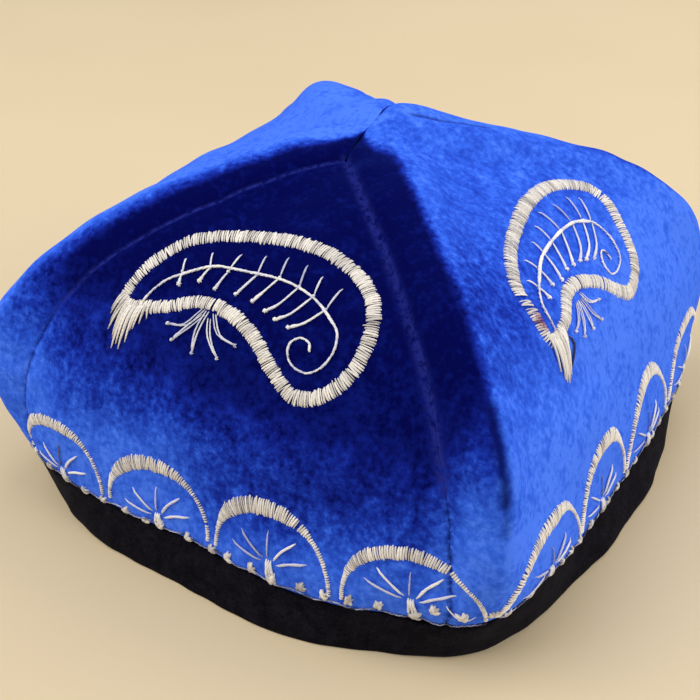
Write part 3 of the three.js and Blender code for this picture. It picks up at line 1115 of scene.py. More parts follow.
# %% [markdown]
# Silk floss is cream, with each strand a little paler or more tan than the next, and it is loosely
# twisted. A wave texture would run straight through a bent stitch. The strand attribute carries the length
# along it, so the twist follows however it turns. One small crimson stain has soaked into the right almond.

# %% Silk finishes
TWIST_LENGTH = 1.3
PLIES = 2.0
# Along the twist the colour is darkened and lightened, as painted shade between the plies and painted light
# on them.
TWIST_SHADE = 0.05
FUZZ_LUMPS = 2400
FUZZ_TONE = 0.25
STAIN_PLACE = ("right", -29.6, 62.6)
STAIN_REACH = 3.7
STAIN_CORE = 0.3
STAIN_DEPTH = 0.9
STAIN_COLOUR = (0.20, 0.012, 0.06, 1)


def stain_on(wire, fuzz):
    """1 inside the stain, with a fuzzy edge, and 0 outside it."""
    face, across, up = STAIN_PLACE
    centre = crown_point(*face_place(FACES.index(face), np.array(across), np.array(up))) * MM
    reach = STAIN_REACH * MM
    place = wire.node("ShaderNodeTexCoord", {}, {}, out="Object")
    away = wire.node("ShaderNodeVectorMath", {"operation": "DISTANCE"}, {0: place, 1: centre}, out="Value")
    return 1 - (away + (fuzz - 0.5) * reach).between(STAIN_CORE * reach, reach)


def silk_finish(name, stops):
    finish, wire = new_finish(name)
    marks = attribute(wire, "strand", out="Vector")
    split = {axis: wire.node("ShaderNodeSeparateXYZ", {}, {"Vector": marks}, out=axis) for axis in "XYZ"}
    turn = (split["Y"] * PLIES + split["X"] * (1 / TWIST_LENGTH)) * (2 * math.pi)
    twist = wire.maths("SINE", turn, 0.0)
    fuzz = speckle(wire, FUZZ_LUMPS, 2)
    colour = ramp(wire, split["Z"] + twist * TWIST_SHADE + (fuzz - 0.5) * FUZZ_TONE, stops)
    close_finish(wire, {
        "Base Color": (stain_on(wire, fuzz) * STAIN_DEPTH).mix(colour, STAIN_COLOUR),
        "Roughness": 0.5,
        "Specular IOR Level": 0.4,
        "Sheen Weight": 0.1,
        "Sheen Roughness": 0.4,
        "Normal": raised(wire, twist * 0.5 + fuzz * 0.4, 0.1, 0.6),
    })
    return finish


cream_silk = silk_finish("cream_silk", [
    (0.0, (0.125, 0.11, 0.12)),
    (0.3, (0.385, 0.36, 0.35)),
    (0.6, (0.65, 0.62, 0.60)),
    (1.0, (0.92, 0.88, 0.83)),
])
# Its dark end tones the strands that stand for painted shadow: the one beside the right tuft and the middle
# ray of each fan.
pale_silk = silk_finish("pale_silk", [
    (0.0, (0.01, 0.013, 0.06)),
    (0.4, (0.42, 0.45, 0.66)),
    (0.75, (0.76, 0.77, 0.86)),
    (1.0, (0.94, 0.93, 0.88)),
])
print("finishes:", cream_silk.name, pale_silk.name)

# %% [markdown]
# The almond's outline and the arches are satin stitch: strands laid side by side across a band, so close
# that they nearly hide the velvet. A striped texture on a ribbon would be quicker, but it has no ragged
# edge. Here the ends are never quite in line, thin strands leave dark gaps, and the floss comes in small
# bundles of one tone. The draws come from one seeded source, so every run sews the same cap.

# %% Satin stitch
SATIN_PITCH = 0.62
SATIN_WIDTH = 0.62
SATIN_THICKNESS = 0.34
SATIN_SLANT = math.radians(5)
SATIN_TONE = 0.84
BUNDLE = 2
BUNDLE_GAPS = 0.4
THIN_WIDTH = 0.5
MISSED = 0.006
SEAM_CLEAR = 0.15
# How far the strands stray: their ends, their slant in radians, and the tones of bundles and of strands.
SATIN_RAGGED = by_face(0.17, right=0.12)
SLANT_STRAY = 0.07
BUNDLE_TONES = 0.12
SATIN_TONES = 0.09
# The least and the most: how broad a strand is, and how high it rises.
SATIN_SIZES = (0.88, 1.08)
SATIN_RISES = (0.85, 1.1)
SATIN_STATIONS = np.array([0, 0.07, 0.22, 0.5, 0.78, 0.93, 1])
SATIN_LIFTS = np.array([-0.4, 0.16, 0.39, 0.48, 0.39, 0.16, -0.4])
SATIN_SWELL = np.array([0.45, 0.8, 1, 1, 1, 0.8, 0.45])
stitch_rng = np.random.default_rng(23)


def read_along(marks, values, at):
    """Reads pairs of values, kept at marks along a line, at other lengths along it."""
    return np.stack([np.interp(at, marks, column) for column in values.T], axis=-1)


def sideways(ahead):
    """Headings turned a quarter to the left."""
    return np.stack([-ahead[..., 1], ahead[..., 0]], axis=-1)


def satin(work, points, width_at, lift, painted_light_and_shade):
    """Satin stitch along a fine run of points; width_at gives the band's width by share of the run."""
    marks = lengths_along(points)
    count = round(marks[-1] / SATIN_PITCH)
    at = (np.arange(count) + 0.5) / count * marks[-1]
    places = read_along(marks, points, at)
    ahead = unit(read_along(marks, np.gradient(points, axis=0), at))
    beside = sideways(ahead)
    clear = seam_distance(crown_point(*face_place(work.side, *places.T))) > SEAM_CLEAR
    # A face's satin is toned down for painted shade, and toned up for painted light where the value is below
    # 0.
    bundle_tones = stitch_rng.normal(SATIN_TONE - painted_light_and_shade, BUNDLE_TONES, count // BUNDLE + 1)
    for k, share in enumerate(at / marks[-1]):
        lean = SATIN_SLANT + stitch_rng.normal(0, SLANT_STRAY)
        across = beside[k] * math.cos(lean) + ahead[k] * math.sin(lean)
        half = width_at(share) / 2
        low, high = half + stitch_rng.normal(0, SATIN_RAGGED[work.face], 2) * min(1, half / 2)
        shade = bundle_tones[k // BUNDLE] + stitch_rng.normal(0, SATIN_TONES)
        thin = k % BUNDLE == 0 and stitch_rng.random() < BUNDLE_GAPS
        size = THIN_WIDTH if thin else stitch_rng.uniform(*SATIN_SIZES)
        rise = stitch_rng.uniform(*SATIN_RISES)
        if stitch_rng.random() < MISSED or not clear[k]:
            continue
        reach = -low + (low + high) * SATIN_STATIONS
        path = places[k] + reach[:, None] * across
        lifts = SATIN_LIFTS * lift * rise
        work.lay(path, SATIN_WIDTH * size * SATIN_SWELL, lifts, SATIN_THICKNESS * SATIN_SWELL, shade)


print("satin stitches to a centimetre:", round(10 / SATIN_PITCH))

# %% [markdown]
# The large motif on each face is an almond with a bent tip. A curve object could be drawn, but its points
# would be in space. A few points on the face, joined by a smooth closed line, can be moved to the next face.
# The line is spaced by the root of the distances, so it doesn't overshoot where points crowd.

# %% Almond outline
ALMOND_POINTS = np.array([
    (-34.5, 57.5), (-32.5, 66.5), (-26.5, 75.5), (-16.0, 82.0), (-3.0, 84.8), (10.0, 85.2),
    (21.5, 81.8), (29.5, 75.0), (32.5, 66.0), (31.0, 57.0), (25.0, 49.8), (18.0, 48.0),
    (11.5, 52.0), (4.0, 58.5), (-5.0, 62.6), (-14.0, 62.8), (-24.0, 58.6),
])
# The right almond is rounder at its top, and has its own outline.
RIGHT_ALMOND_POINTS = np.array([
    (-31.0, 57.8), (-30.0, 65.0), (-26.6, 72.2), (-18.0, 78.8), (-7.4, 82.8), (4.0, 85.2), (14.0, 85.2),
    (23.6, 81.8), (29.6, 76.6), (31.0, 71.0), (28.8, 63.4), (27.2, 57.6), (23.6, 52.0), (16.0, 48.2),
    (9.8, 51.2), (3.0, 57.2), (-5.8, 62.0), (-12.6, 62.2), (-21.6, 58.2),
])
# How broad each almond is beside the front one, and how far lower it is set.
ALMOND_SPANS = by_face(1, right=0.9)
ALMOND_DROPS = by_face(0, left=22)
FINE = 24


def on_almond(face, points):
    """Places drawn for the front almond, moved to the almond of a face."""
    return np.asarray(points) * (ALMOND_SPANS[face], 1) - (0, ALMOND_DROPS[face])


def closed_run(points):
    """A fine smooth line through a closed ring of points, spaced by the root of their distances."""
    after = [np.roll(points, -k, axis=0) for k in (-1, 0, 1, 2)]
    gap = [np.sqrt(np.linalg.norm(after[k + 1] - after[k], axis=1))[:, None] for k in range(3)]
    pull = [(after[k + 1] - after[k]) / gap[k] for k in range(3)]
    leave = pull[0] - (after[2] - after[0]) / (gap[0] + gap[1]) + pull[1]
    arrive = pull[1] - (after[3] - after[1]) / (gap[1] + gap[2]) + pull[2]
    parts = np.arange(FINE)[:, None, None] / FINE
    run = cubic(after[1], after[2], leave * gap[1], arrive * gap[1], parts)
    run = run.transpose(1, 0, 2).reshape(-1, 2)
    return np.vstack([run, run[:1]])


print("almond outline in mm:", lengths_along(closed_run(ALMOND_POINTS))[-1].round(1))

# %% [markdown]
# The floss runs out at the almond's tip in a loose tuft. Hair curves would need combing. Two short lines
# say where the strands start and end, and each strand goes straight from one to the other, a little astray.

# %% Tuft at the almond's tip
# Places along which the long strands of the tuft start, and along which they end.
TUFT_ROOTS = np.array([(-34.6, 60.2), (-33.0, 58.2), (-30.3, 57.8), (-26.5, 59.0)])
TUFT_ENDS = np.array([(-37.4, 54.6), (-36.6, 49.8), (-34.4, 45.2), (-31.2, 48.8), (-26.6, 55.0)])
TUFT_TIP = np.array([-34.2, 46.4])
# How far the ends are gathered into the tip, and how thick the strands are.
TUFT_GATHERS = by_face(0, right=0.65)
TUFT_SIZES = by_face(0.72, right=0.95)
TUFT_STRANDS = 16
TUFT_THICKNESS = 0.5
TUFT_WIDTHS = np.array([0.6, 0.9, 1.0, 0.95, 0.8, 0.6, 0.25])
TUFT_LIFTS = np.array([0.1, 0.75, 1.0, 0.9, 0.7, 0.45, 0.1])
TUFT_STRAY = 0.6
# The least and the most: how high a strand is lifted, and how broad it is.
TUFT_RISES = (0.65, 1.15)
TUFT_BROADS = (0.75, 1.1)
# Tone of the first and the last strand, and how far a tone strays.
TUFT_TONE_ENDS = (0.74, 0.94)
TUFT_TONES = 0.18


def tuft(work):
    shares = np.linspace(0, 1, TUFT_STRANDS)
    ends = smooth_run(TUFT_ENDS, shares)
    ends = ends + (TUFT_TIP - ends) * TUFT_GATHERS[work.face]
    roots = on_almond(work.face, smooth_run(TUFT_ROOTS, shares))
    ends = on_almond(work.face, ends)
    tones = np.interp(shares, (0, 1), TUFT_TONE_ENDS)
    stations = np.linspace(0, 1, STATIONS)[:, None]
    for tone, root, end in zip(tones, roots, ends):
        end = end + stitch_rng.normal(0, TUFT_STRAY, 2)
        path = root + (end - root) * stations
        lifts = TUFT_LIFTS * stitch_rng.uniform(*TUFT_RISES)
        widths = TUFT_WIDTHS * TUFT_SIZES[work.face] * stitch_rng.uniform(*TUFT_BROADS)
        work.lay(path, widths, lifts, TUFT_THICKNESS, stitch_rng.normal(tone, TUFT_TONES))


print("strands in a tuft:", TUFT_STRANDS)

# %% Four almonds
# Width of the satin at the tip, how much it gains at the far end, and how soon.
ALMOND_WIDTH = 3.1
ALMOND_GAIN = 0.9
ALMOND_GAIN_POWER = 0.7
# How broad the satin of each almond is beside the front one, and how much darker it is toned, as painted
# shade.
ALMOND_BANDS = by_face(1, right=1.14)
ALMOND_PAINTED_SHADE = by_face(0.04, right=0.12)


def almond_width(share):
    return ALMOND_WIDTH + ALMOND_GAIN * math.sin(math.pi * share) ** ALMOND_GAIN_POWER


for face in FACES:
    work = Needlework(face)
    outline = RIGHT_ALMOND_POINTS if face == "right" else on_almond(face, ALMOND_POINTS)
    broad = ALMOND_BANDS[face]
    satin(work, closed_run(outline), lambda share: broad * almond_width(share), 1, ALMOND_PAINTED_SHADE[face])
    tuft(work)
    work.sew(f"{face}_almond_satin", cream_silk, f"{face}_almond")

# %% [markdown]
# Four arches stand along the edge of each face. They could be copies of one, but each was sewn by eye, so
# every row of the table gives one its own span, rise and lean. Half an ellipse is the start, and a power
# on its sine makes a shoulder fuller or more hollow.

# %% Arches along the edge
# Columns: middle across the face, half-span and rise of each arch, and its width at the crown.
# Then how its two shoulders rise, as powers of the sine: 1 is an ellipse, and less is fuller.
# The last column is how far the crown leans over to the second leg, against the half-span.
ARCH_ROW = [
    (-50.0, 14.2, 15.2, 3.6, 0.6, 1.0, 0),
    (-17.2, 15.9, 15.4, 4.2, 0.85, 1.0, 0),
    (18.0, 16.6, 17.1, 4.4, 0.8, 1.0, 0),
    (55.4, 17.4, 16.9, 3.6, 0.75, 0.8, 0),
]
RIGHT_ARCH_ROW = [
    (-55.3, 18.3, 16.8, 5.2, 0.42, 2.8, 0.28),
    (-19.3, 15.6, 19.0, 5.2, 0.9, 1.6, 0.08),
    (15.0, 16.4, 19.4, 5.0, 0.9, 1.5, 0.1),
    (53.3, 18.6, 17.6, 4.6, 0.9, 1.3, 0),
]
ARCH_ROWS = by_face(ARCH_ROW, right=RIGHT_ARCH_ROW)
ARCH_FOOT = 3.2
ARCH_FOOT_WIDTH = 1.0
ARCH_LIFT = 0.9
# How much of the crown's width the first leg keeps, by which share of the way it is full, and how much
# darker it is toned: painted shade, and below 0 painted light on the right face.
ARCH_LEGS = by_face((0, 0.3, 0.1), right=(0.4, 0.46, -0.06))
# From which share of the way an arch gains its width, and between which shares it loses it again.
ARCH_GAINS = 0.06
ARCH_THINS = (0.52, 0.78)
arch_turns = np.linspace(0, math.pi, 97)


def arch_broad(share, leg, full):
    """How broad an arch is: full over the crown, and thin down both legs, the second one sooner."""
    return (leg + (1 - leg) * step(share, ARCH_GAINS, full)) * (1 - step(share, *ARCH_THINS))


for face in FACES:
    leg, full, painted_light_and_shade = ARCH_LEGS[face]
    for count, (middle, half_span, rise, width, first, second, lean) in enumerate(ARCH_ROWS[face], start=1):
        work = Needlework(face)
        sine = np.sin(arch_turns)
        across = middle + half_span * (lean * sine - np.cos(arch_turns))
        up = ARCH_FOOT + rise * sine ** np.where(arch_turns < math.pi / 2, first, second)
        more = width - ARCH_FOOT_WIDTH
        satin(
            work,
            np.stack([across, up], axis=-1),
            lambda share: ARCH_FOOT_WIDTH + more * arch_broad(share, leg, full),
            ARCH_LIFT,
            painted_light_and_shade,
        )
        work.sew(f"{face}_arch_{count}_satin", cream_silk, f"{face}_arch_{count}")

# %% [markdown]
# The finer lines are drawn in single threads. Stem stitch makes a line of short strands that overlap like
# the plies of a rope, a single stitch is one strand by itself, and a knot is a few short fat ones across
# each other. A bevelled curve would be smoother than any thread, so all three use the same strand.

# %% Stem stitch and single stitches
STEM_LENGTH = 2.8
STEM_ADVANCE = 1.45
STEM_SIDEWAYS = 0.13
HEADING_STEP = 0.2
THREAD_LIFT = 0.34
THREAD_FLATNESS = 0.8
THREAD_SWELL = np.array([0.35, 0.85, 1.0, 1.0, 1.0, 0.85, 0.35])
THREAD_DIVE = np.array([-0.5, 0.0, 0.08, 0.12, 0.08, 0.0, -0.5])
# The least and the most that a strand's width varies by, and how far its tone strays.
STEM_SIZES = (0.75, 1.25)
STEM_TONES = 0.16
THREAD_SIZES = (0.8, 1.2)
THREAD_TONES = 0.12


def stem_line(work, points, width, tone):
    """Stem stitch along a smooth line through a few points."""
    line = smooth_run(points, np.linspace(0, 1, FINE * len(points)))
    marks = lengths_along(line)
    total = marks[-1]
    stations = np.linspace(-0.5, 0.5, STATIONS)
    for middle in np.arange(STEM_LENGTH / 2, total, STEM_ADVANCE):
        at = np.clip(middle + stations * STEM_LENGTH, 0, total)
        after = read_along(marks, line, np.clip(at + HEADING_STEP, 0, total))
        before = read_along(marks, line, np.clip(at - HEADING_STEP, 0, total))
        offset = sideways(unit(after - before)) * (stations * 2 * STEM_SIDEWAYS)[:, None]
        path = read_along(marks, line, at) + offset
        thick = width * stitch_rng.uniform(*STEM_SIZES) * THREAD_SWELL
        shade = stitch_rng.normal(tone, STEM_TONES)
        work.lay(path, thick, THREAD_LIFT + THREAD_DIVE, THREAD_FLATNESS * thick, shade)


def single_stitch(work, points, width, tone, form=THREAD_SWELL, dive=THREAD_DIVE):
    """One strand along a smooth line through a few points."""
    path = smooth_run(points, np.linspace(0, 1, STATIONS))
    shade = stitch_rng.normal(tone, THREAD_TONES)
    uneven = stitch_rng.uniform(*THREAD_SIZES, STATIONS)
    work.lay(path, width * form * uneven, THREAD_LIFT + dive, width * THREAD_FLATNESS * form, shade)


print("stem stitches to a centimetre:", round(10 / STEM_ADVANCE, 1))

# %% Knots
KNOT_STRANDS = 3
KNOT_LIFT = 0.36
KNOT_STACK = 0.1
KNOT_BREADTH = 0.55
KNOT_HEIGHT = 0.42
# How far a strand's way strays in radians, the least and the most that it reaches, and its tone's stray.
KNOT_TURNS = 0.25
KNOT_REACHES = (0.4, 0.6)
KNOT_TONES = 0.14


def straight(place, way, reach):
    """A straight strand's path, which reaches so far both ways from its middle."""
    heading = np.array([math.cos(way), math.sin(way)])
    return place + np.linspace(-reach, reach, STATIONS)[:, None] * heading


def knot(work, place, width, tone):
    """A small knot: a few short fat stitches across each other."""
    start = stitch_rng.uniform(0, math.pi)
    for k in range(KNOT_STRANDS):
        way = start + math.pi * k / KNOT_STRANDS + stitch_rng.normal(0, KNOT_TURNS)
        path = straight(place, way, width * stitch_rng.uniform(*KNOT_REACHES))
        lifts = KNOT_LIFT + THREAD_DIVE + KNOT_STACK * k
        form = width * THREAD_SWELL
        work.lay(path, KNOT_BREADTH * form, lifts, KNOT_HEIGHT * form, stitch_rng.normal(tone, KNOT_TONES))


print("strands in a knot:", KNOT_STRANDS)

# %% [markdown]
# Inside each almond a sprig is drawn in these threads. Its long stem ends in a curl, ribs cross the stem
# and end in knots, and below the almond rays spread out, each of two threads that meet. Curves drawn in
# the viewport could hold them, but places on the face move along with the almond. The front and the right
# one were worked separately, so each has its own places. The hidden faces repeat the front.

# %% Sprig of the front almond
# The stem from the almond's tip to the end of its curl.
SPINE = np.array([
    (-29.2, 58.4), (-26.8, 63.0), (-23.3, 67.1), (-15.6, 72.0), (-9.5, 73.5), (4.1, 74.3), (14.5, 72.2),
    (22.8, 67.0), (24.9, 63.6), (24.8, 59.7), (23.1, 56.3), (20.1, 54.2), (16.2, 54.8), (14.0, 57.1),
    (13.8, 59.9), (15.8, 61.7), (18.4, 61.2), (19.1, 59.3),
])
# Each rib from its upper end, over the spine, to the knot at its lower end.
RIBS = np.array([
    [(-22.8, 72.8), (-21.9, 69.0), (-21.3, 65.6)],
    [(-16.7, 76.4), (-15.1, 72.0), (-16.2, 68.0)],
    [(-9.2, 78.4), (-10.0, 72.4), (-11.0, 67.2)],
    [(-2.7, 79.8), (-2.4, 74.0), (-4.9, 67.3)],
    [(3.2, 81.0), (3.8, 74.7), (0.2, 66.8)],
    [(9.0, 80.3), (9.8, 73.9), (4.4, 65.4)],
    [(14.1, 78.5), (14.3, 72.7), (7.7, 64.2)],
    [(20.4, 76.9), (18.9, 70.2), (11.7, 63.3)],
])
# Each ray below the almond from its root, by its bend, to the end where its two threads meet.
RAYS = np.array([
    [(-11.7, 61.4), (-15.0, 56.5), (-20.0, 55.5)],
    [(-11.1, 60.1), (-14.4, 55.8), (-17.6, 52.0)],
    [(-10.4, 61.2), (-11.4, 55.8), (-11.2, 50.4)],
    [(-9.2, 59.6), (-7.4, 55.2), (-3.8, 51.0)],
    [(-8.2, 61.0), (-5.0, 56.6), (0.1, 55.3)],
])
print("front sprig: ribs", len(RIBS), "rays", len(RAYS))

# %% Sprig of the right almond
RIGHT_SPINE = np.array([
    (-28.0, 58.4), (-25.4, 65.0), (-19.2, 69.2), (-11.4, 72.4), (-5.2, 73.6), (3.6, 74.0), (11.4, 73.0),
    (18.0, 69.8), (20.4, 65.4), (20.4, 61.0), (18.6, 57.0), (14.4, 55.4), (10.6, 56.0), (9.4, 58.4),
    (10.6, 61.0), (13.0, 62.4), (14.6, 61.0), (14.4, 58.8),
])
RIGHT_RIBS = np.array([
    [(-21.6, 72.0), (-20.6, 68.6), (-20.6, 65.0)],
    [(-15.4, 76.0), (-14.2, 71.6), (-15.2, 66.4)],
    [(-6.8, 77.8), (-7.0, 73.3), (-10.6, 65.4)],
    [(-1.2, 80.0), (-0.6, 73.9), (-5.4, 66.2)],
    [(5.0, 82.0), (5.4, 73.8), (-1.4, 65.6)],
    [(11.8, 80.6), (10.8, 73.0), (2.2, 65.0)],
    [(18.4, 79.4), (15.4, 71.6), (4.6, 64.0)],
    [(22.8, 76.8), (18.4, 69.4), (7.6, 62.6)],
])
RIGHT_RAYS = np.array([
    [(-8.0, 59.6), (-6.8, 56.2), (-2.4, 54.6)],
    [(-8.8, 58.6), (-8.4, 53.8), (-5.6, 50.4)],
    [(-10.4, 58.4), (-11.4, 53.6), (-11.6, 50.8)],
    [(-11.2, 58.8), (-14.6, 54.4), (-17.0, 51.4)],
    [(-12.2, 58.8), (-16.4, 55.6), (-19.8, 54.2)],
])
# A dark strand lies beside the tip of the right almond: partly a loose dark thread, partly a painted shadow
# of the tuft.
LOOSE_THREAD_AND_SHADOW = [(-23.4, 55.2), (-22.6, 52.4), (-25.2, 49.8), (-29.4, 47.2)]
print("right sprig: ribs", len(RIGHT_RIBS), "rays", len(RIGHT_RAYS))

# %% Four sprigs
# Width and tone of each thread, and of the knots on the stem, under a rib and at the end of a ray.
STEM_THREAD = (0.5, 0.75)
UPPER_RIB = (0.5, 0.62)
LOWER_RIB = (0.7, 0.8)
RAY_THREAD = (0.48, 0.66)
LOOSE_THREAD_AND_SHADOW_LOOK = (0.6, -0.3)
STEM_KNOT = (0.8, 0.75)
RIB_KNOT = (1.1, 0.85)
RAY_KNOT = (0.9, 0.65)
# Which points of the stem a second, broader line follows, how broad it is, and its tone.
SPINE_BROAD = slice(2, 8)
SPINE_WIDTHS = by_face(0.6, right=0.95)
SPINE_TONE = 0.9
# How far the lower half of each rib sags, and how it swells towards its knot.
RIB_SAGS = (0, 0, 0.2, 0.3, 0.5, 1.6, 1.7, 1.3)
RIB_SWELL = np.array([0.6, 0.75, 0.8, 0.85, 0.95, 1.25, 0.9])
RIB_DIVE = np.array([-0.2, 0.0, 0.08, 0.12, 0.08, 0.05, -0.3])
RAY_FORK = np.array([[0.4], [0.45], [0]]) * (1, 0)


def sprig(work, spine, ribs, rays):
    stem_line(work, spine, *STEM_THREAD)
    stem_line(work, spine[SPINE_BROAD], SPINE_WIDTHS[work.face], SPINE_TONE)
    for (upper, middle, lower), sag in zip(ribs, RIB_SAGS):
        bend = (middle + lower) / 2 - (0, sag)
        single_stitch(work, [upper, (upper + middle) / 2, middle], *UPPER_RIB)
        single_stitch(work, [middle, bend, lower], *LOWER_RIB, RIB_SWELL, RIB_DIVE)
        knot(work, middle, *STEM_KNOT)
        knot(work, lower, *RIB_KNOT)
    for ray in rays:
        for hand in (-1, 1):
            single_stitch(work, ray + hand * RAY_FORK, *RAY_THREAD, RIB_SWELL, RIB_DIVE)
        knot(work, ray[-1], *RAY_KNOT)


for face in FACES:
    work = Needlework(face)
    if face == "right":
        sprig(work, RIGHT_SPINE, RIGHT_RIBS, RIGHT_RAYS)
        # The dark strand beside the tuft is partly a painted shadow.
        single_stitch(work, LOOSE_THREAD_AND_SHADOW, *LOOSE_THREAD_AND_SHADOW_LOOK)
    else:
        sprig(work, *(on_almond(face, places) for places in (SPINE, RIBS, RAYS)))
    work.sew(f"{face}_sprig", pale_silk)

# %% [markdown]
# Under each arch five threads fan out of a short trunk, and a running thread edges the velvet just above
# the band. In the last arch one more thread bends down to its foot. They are single stitches too, and one
# fan, stretched to each arch's span, serves them all.

# %% Fans under the arches
# Drawn for an arch of this half-span, from the place where the threads meet.
FAN_HALF_SPAN = 16.6
FANS = np.array([
    [(-2.0, -0.9), (-6.6, -0.2), (-11.5, 0.6)],
    [(-1.6, 0.1), (-4.8, 2.5), (-8.5, 5.2)],
    [(-0.5, 0.4), (-0.5, 4.2), (-0.6, 8.0)],
    [(1.0, 0.3), (3.4, 3.9), (7.0, 7.0)],
    [(1.6, -0.7), (5.6, 1.4), (10.4, 2.6)],
])
FAN_WIDTHS = (0.6, 0.66, 0.42, 0.8, 0.74)
# The middle ray is toned dark, a painted shadow along it.
FAN_TONES_AND_SHADOW = (0.6, 0.68, 0.3, 0.85, 0.78)
# How high over the edge they meet under each arch, and how much further their ends are lifted.
FAN_ROW = [(4.6, 0), (4.6, 0), (7.2, 0), (7.6, 0.22)]
FAN_ROWS = by_face(FAN_ROW, right=[(4.4, 0)] * 4)
# The trunk runs from there down to the edge, as shares of that height, in three threads.
TRUNK = np.array([(0.4, 0.28), (0.2, 0.5), (0.0, 0.78), (-0.2, 1.05)])
TRUNK_SPREAD = np.array([[1.2], [0.9], [0.6], [0.6]]) * (1, 0)
TRUNK_HANDS = (-1, 0, 1)
TRUNK_THREAD = (0.75, 0.8)
SIDE_THREAD = [(63.5, 9.0), (64.5, 7.5), (66.0, 6.4), (68.0, 5.6), (71.0, 6.5)]
SIDE_LOOK = (0.45, 0.5)


def fan(work, middle, half_span, fan_up, lift):
    stretch = np.array([half_span / FAN_HALF_SPAN, 1])
    for ray, width, tone in zip(FANS * stretch, FAN_WIDTHS, FAN_TONES_AND_SHADOW):
        lifted = (middle, fan_up) + ray + np.abs(ray[:, :1]) * (0, lift)
        single_stitch(work, lifted, width, tone)
    for hand in TRUNK_HANDS:
        trunk = (middle, 0) + TRUNK * (1, fan_up) + hand * TRUNK_SPREAD
        single_stitch(work, trunk, *TRUNK_THREAD)


print("threads in a fan:", len(FANS), "and in its trunk:", len(TRUNK_HANDS))

# %% Fans and edge thread of each face
EDGE_THREAD_UP = 1.5
EDGE_THREAD_SWAY = 0.5
EDGE_THREAD_WAVE = 11
EDGE_THREAD_LOOK = (0.3, 0.2)
EDGE_THREAD_POINTS = 120
EDGE_THREAD_INSET = 1.0

for face in FACES:
    work = Needlework(face)
    for (middle, half_span, *_), (fan_up, lift) in zip(ARCH_ROWS[face], FAN_ROWS[face]):
        fan(work, middle, half_span, fan_up, lift)
    single_stitch(work, SIDE_THREAD, *SIDE_LOOK)
    end = ACROSS_MARKS[0, -1] - EDGE_THREAD_INSET
    along = np.linspace(-end, end, EDGE_THREAD_POINTS)
    sway = EDGE_THREAD_SWAY * np.sin(2 * math.pi * along / EDGE_THREAD_WAVE)
    stem_line(work, np.stack([along, EDGE_THREAD_UP + sway], axis=-1), *EDGE_THREAD_LOOK)
    work.sew(f"{face}_arch_fans", pale_silk)

# %% [markdown]
# A row of small uneven knots finishes the edge, each a few stitches crossed like a star, with a larger one
# under the trunk of every fan. One star could be copied along the edge, but no two were sewn alike, so
# each is drawn anew.

# %% One star of stitches
# Columns: the way a stitch of the star lies in degrees, its length and its width.
STAR_STITCHES = [(90, 2.9, 1.05), (38, 2.5, 1.0), (142, 2.5, 1.0), (0, 2.2, 0.95), (65, 2.4, 0.9)]
STAR_FLATNESS = 0.7
STAR_TONE = 0.55
# How far a stitch strays: its way in degrees, its place, its length, its width and its tone.
STAR_TURNS = 14
STAR_STRAY = 0.2
STAR_LENGTHS = (0.75, 1.15)
STAR_WIDTHS = (0.8, 1.15)
STAR_TONES = 0.18


def star(work, place, size):
    """A star of crossed stitches, each a little off its way."""
    for degrees, length, width in STAR_STITCHES:
        way = math.radians(degrees + stitch_rng.normal(0, STAR_TURNS))
        reach = size * length / 2 * stitch_rng.uniform(*STAR_LENGTHS)
        path = straight(place + stitch_rng.normal(0, STAR_STRAY, 2), way, reach)
        thick = width * size * stitch_rng.uniform(*STAR_WIDTHS) * THREAD_SWELL
        tone = stitch_rng.normal(STAR_TONE, STAR_TONES)
        work.lay(path, thick, THREAD_LIFT + THREAD_DIVE, STAR_FLATNESS * thick, tone)


print("stitches in a star:", len(STAR_STITCHES))

# %% Knots along the edge
KNOTS_FROM = -70.2
KNOT_PITCH = 6.9
KNOTS = 22
KNOTS_UP = 1.2
# Towards its right end the row climbs: by how much, and from and to which places across the face.
CLIMBS = [(1.9, -8, 18), (3.4, 42, 66)]
KNOT_CLIMBS = by_face(CLIMBS, right=[])
# How far a knot strays across and up, the least and the most of its size, and the size under a trunk.
KNOT_ACROSS_STRAY = 0.5
KNOT_UP_STRAY = 0.25
KNOT_SIZES = (1.0, 1.25)
TRUNK_KNOT_SIZE = 1.35
TRUNK_CLEAR = 3.0

for face in FACES:
    work = Needlework(face)
    middles = np.array([row[0] for row in ARCH_ROWS[face]])
    for across in KNOTS_FROM + KNOT_PITCH * np.arange(KNOTS):
        if np.abs(middles - across).min() < TRUNK_CLEAR:
            continue
        up = KNOTS_UP + sum(climb * step(across, low, high) for climb, low, high in KNOT_CLIMBS[face])
        across = across + stitch_rng.normal(0, KNOT_ACROSS_STRAY)
        up = up + stitch_rng.normal(0, KNOT_UP_STRAY)
        star(work, np.array([across, up]), stitch_rng.uniform(*KNOT_SIZES))
    for middle, (fan_up, lift) in zip(middles, FAN_ROWS[face]):
        star(work, (middle, 0) + TRUNK[0] * (1, fan_up), TRUNK_KNOT_SIZE)
    work.sew(f"{face}_edge_knots", cream_silk)

# %% [markdown]
# The cap stands on a plain pale floor. A curved backdrop would hide the horizon, but the camera looks
# down and sees none, so one large face is enough. It is stage and not part of the cap.

# %% Floor
FLOOR_SIZE = 6.0
FLOOR_DARK = (0.66, 0.54, 0.36, 1)
FLOOR_PALE = (0.72, 0.60, 0.41, 1)
FLOOR_LUMPS = 6


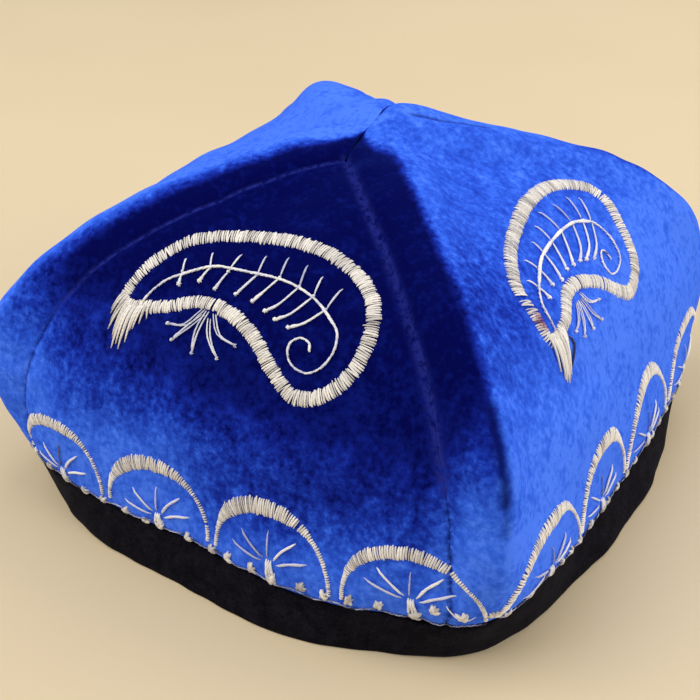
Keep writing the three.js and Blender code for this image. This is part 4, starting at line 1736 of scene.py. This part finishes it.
def floor_finish():
    finish, wire = new_finish("pale_floor")
    colour = speckle(wire, FLOOR_LUMPS, 2).mix(FLOOR_DARK, FLOOR_PALE)
    close_finish(wire, {"Base Color": colour, "Roughness": 0.7, "Specular IOR Level": 0.2})
    return finish


ground = bmesh.new()
bmesh.ops.create_grid(ground, x_segments=1, y_segments=1, size=FLOOR_SIZE)
floor_mesh = bpy.data.meshes.new("floor")
ground.to_mesh(floor_mesh)
ground.free()
floor_mesh.materials.append(floor_finish())
floor = bpy.data.objects.new("floor", floor_mesh)
bpy.context.collection.objects.link(floor)
print("floor in m:", 2 * FLOOR_SIZE)

# %% [markdown]
# Soft light from large panels shows the pile best, because a small lamp would give it hard glints. The
# main panel stands high on the left, a second one on the right opens the far face, a third one behind
# lights the pile along the edges, and a pale world fills the shadows.

# %% Studio light
# Columns: name, azimuth and elevation in degrees, distance and size in metres, power in watts.
PANELS = [
    ("main_panel", -48, 48, 0.95, 0.9, 7.0),
    ("right_panel", 95, 28, 1.1, 0.9, 6.5),
    ("back_panel", 170, 42, 1.1, 1.0, 5.0),
]
PANEL_COLOUR = (1.0, 0.97, 0.92)
WORLD_COLOUR = (0.95, 0.93, 0.90, 1)
WORLD_STRENGTH = 0.42

for name, azimuth, elevation, distance, size, power in PANELS:
    panel = bpy.data.lights.new(name, "AREA")
    panel.size = size
    panel.energy = power
    panel.color = PANEL_COLOUR
    lamp = bpy.data.objects.new(name, panel)
    turn = math.radians(azimuth)
    tilt = math.radians(elevation)
    way = Vector((math.sin(turn) * math.cos(tilt), -math.cos(turn) * math.cos(tilt), math.sin(tilt)))
    lamp.location = AIM * MM + way * distance
    lamp.rotation_euler = way.to_track_quat("Z", "Y").to_euler()
    bpy.context.collection.objects.link(lamp)
world = bpy.data.worlds.new("studio")
world.use_nodes = True
sky = world.node_tree.nodes["Background"]
sky.inputs["Color"].default_value = WORLD_COLOUR
sky.inputs["Strength"].default_value = WORLD_STRENGTH
bpy.context.scene.world = world
bpy.context.scene.view_settings.view_transform = "Standard"
print("panels:", len(PANELS))

# %% [markdown]
# Cloth may stand a little proud of the solids, but not change the cap's size.
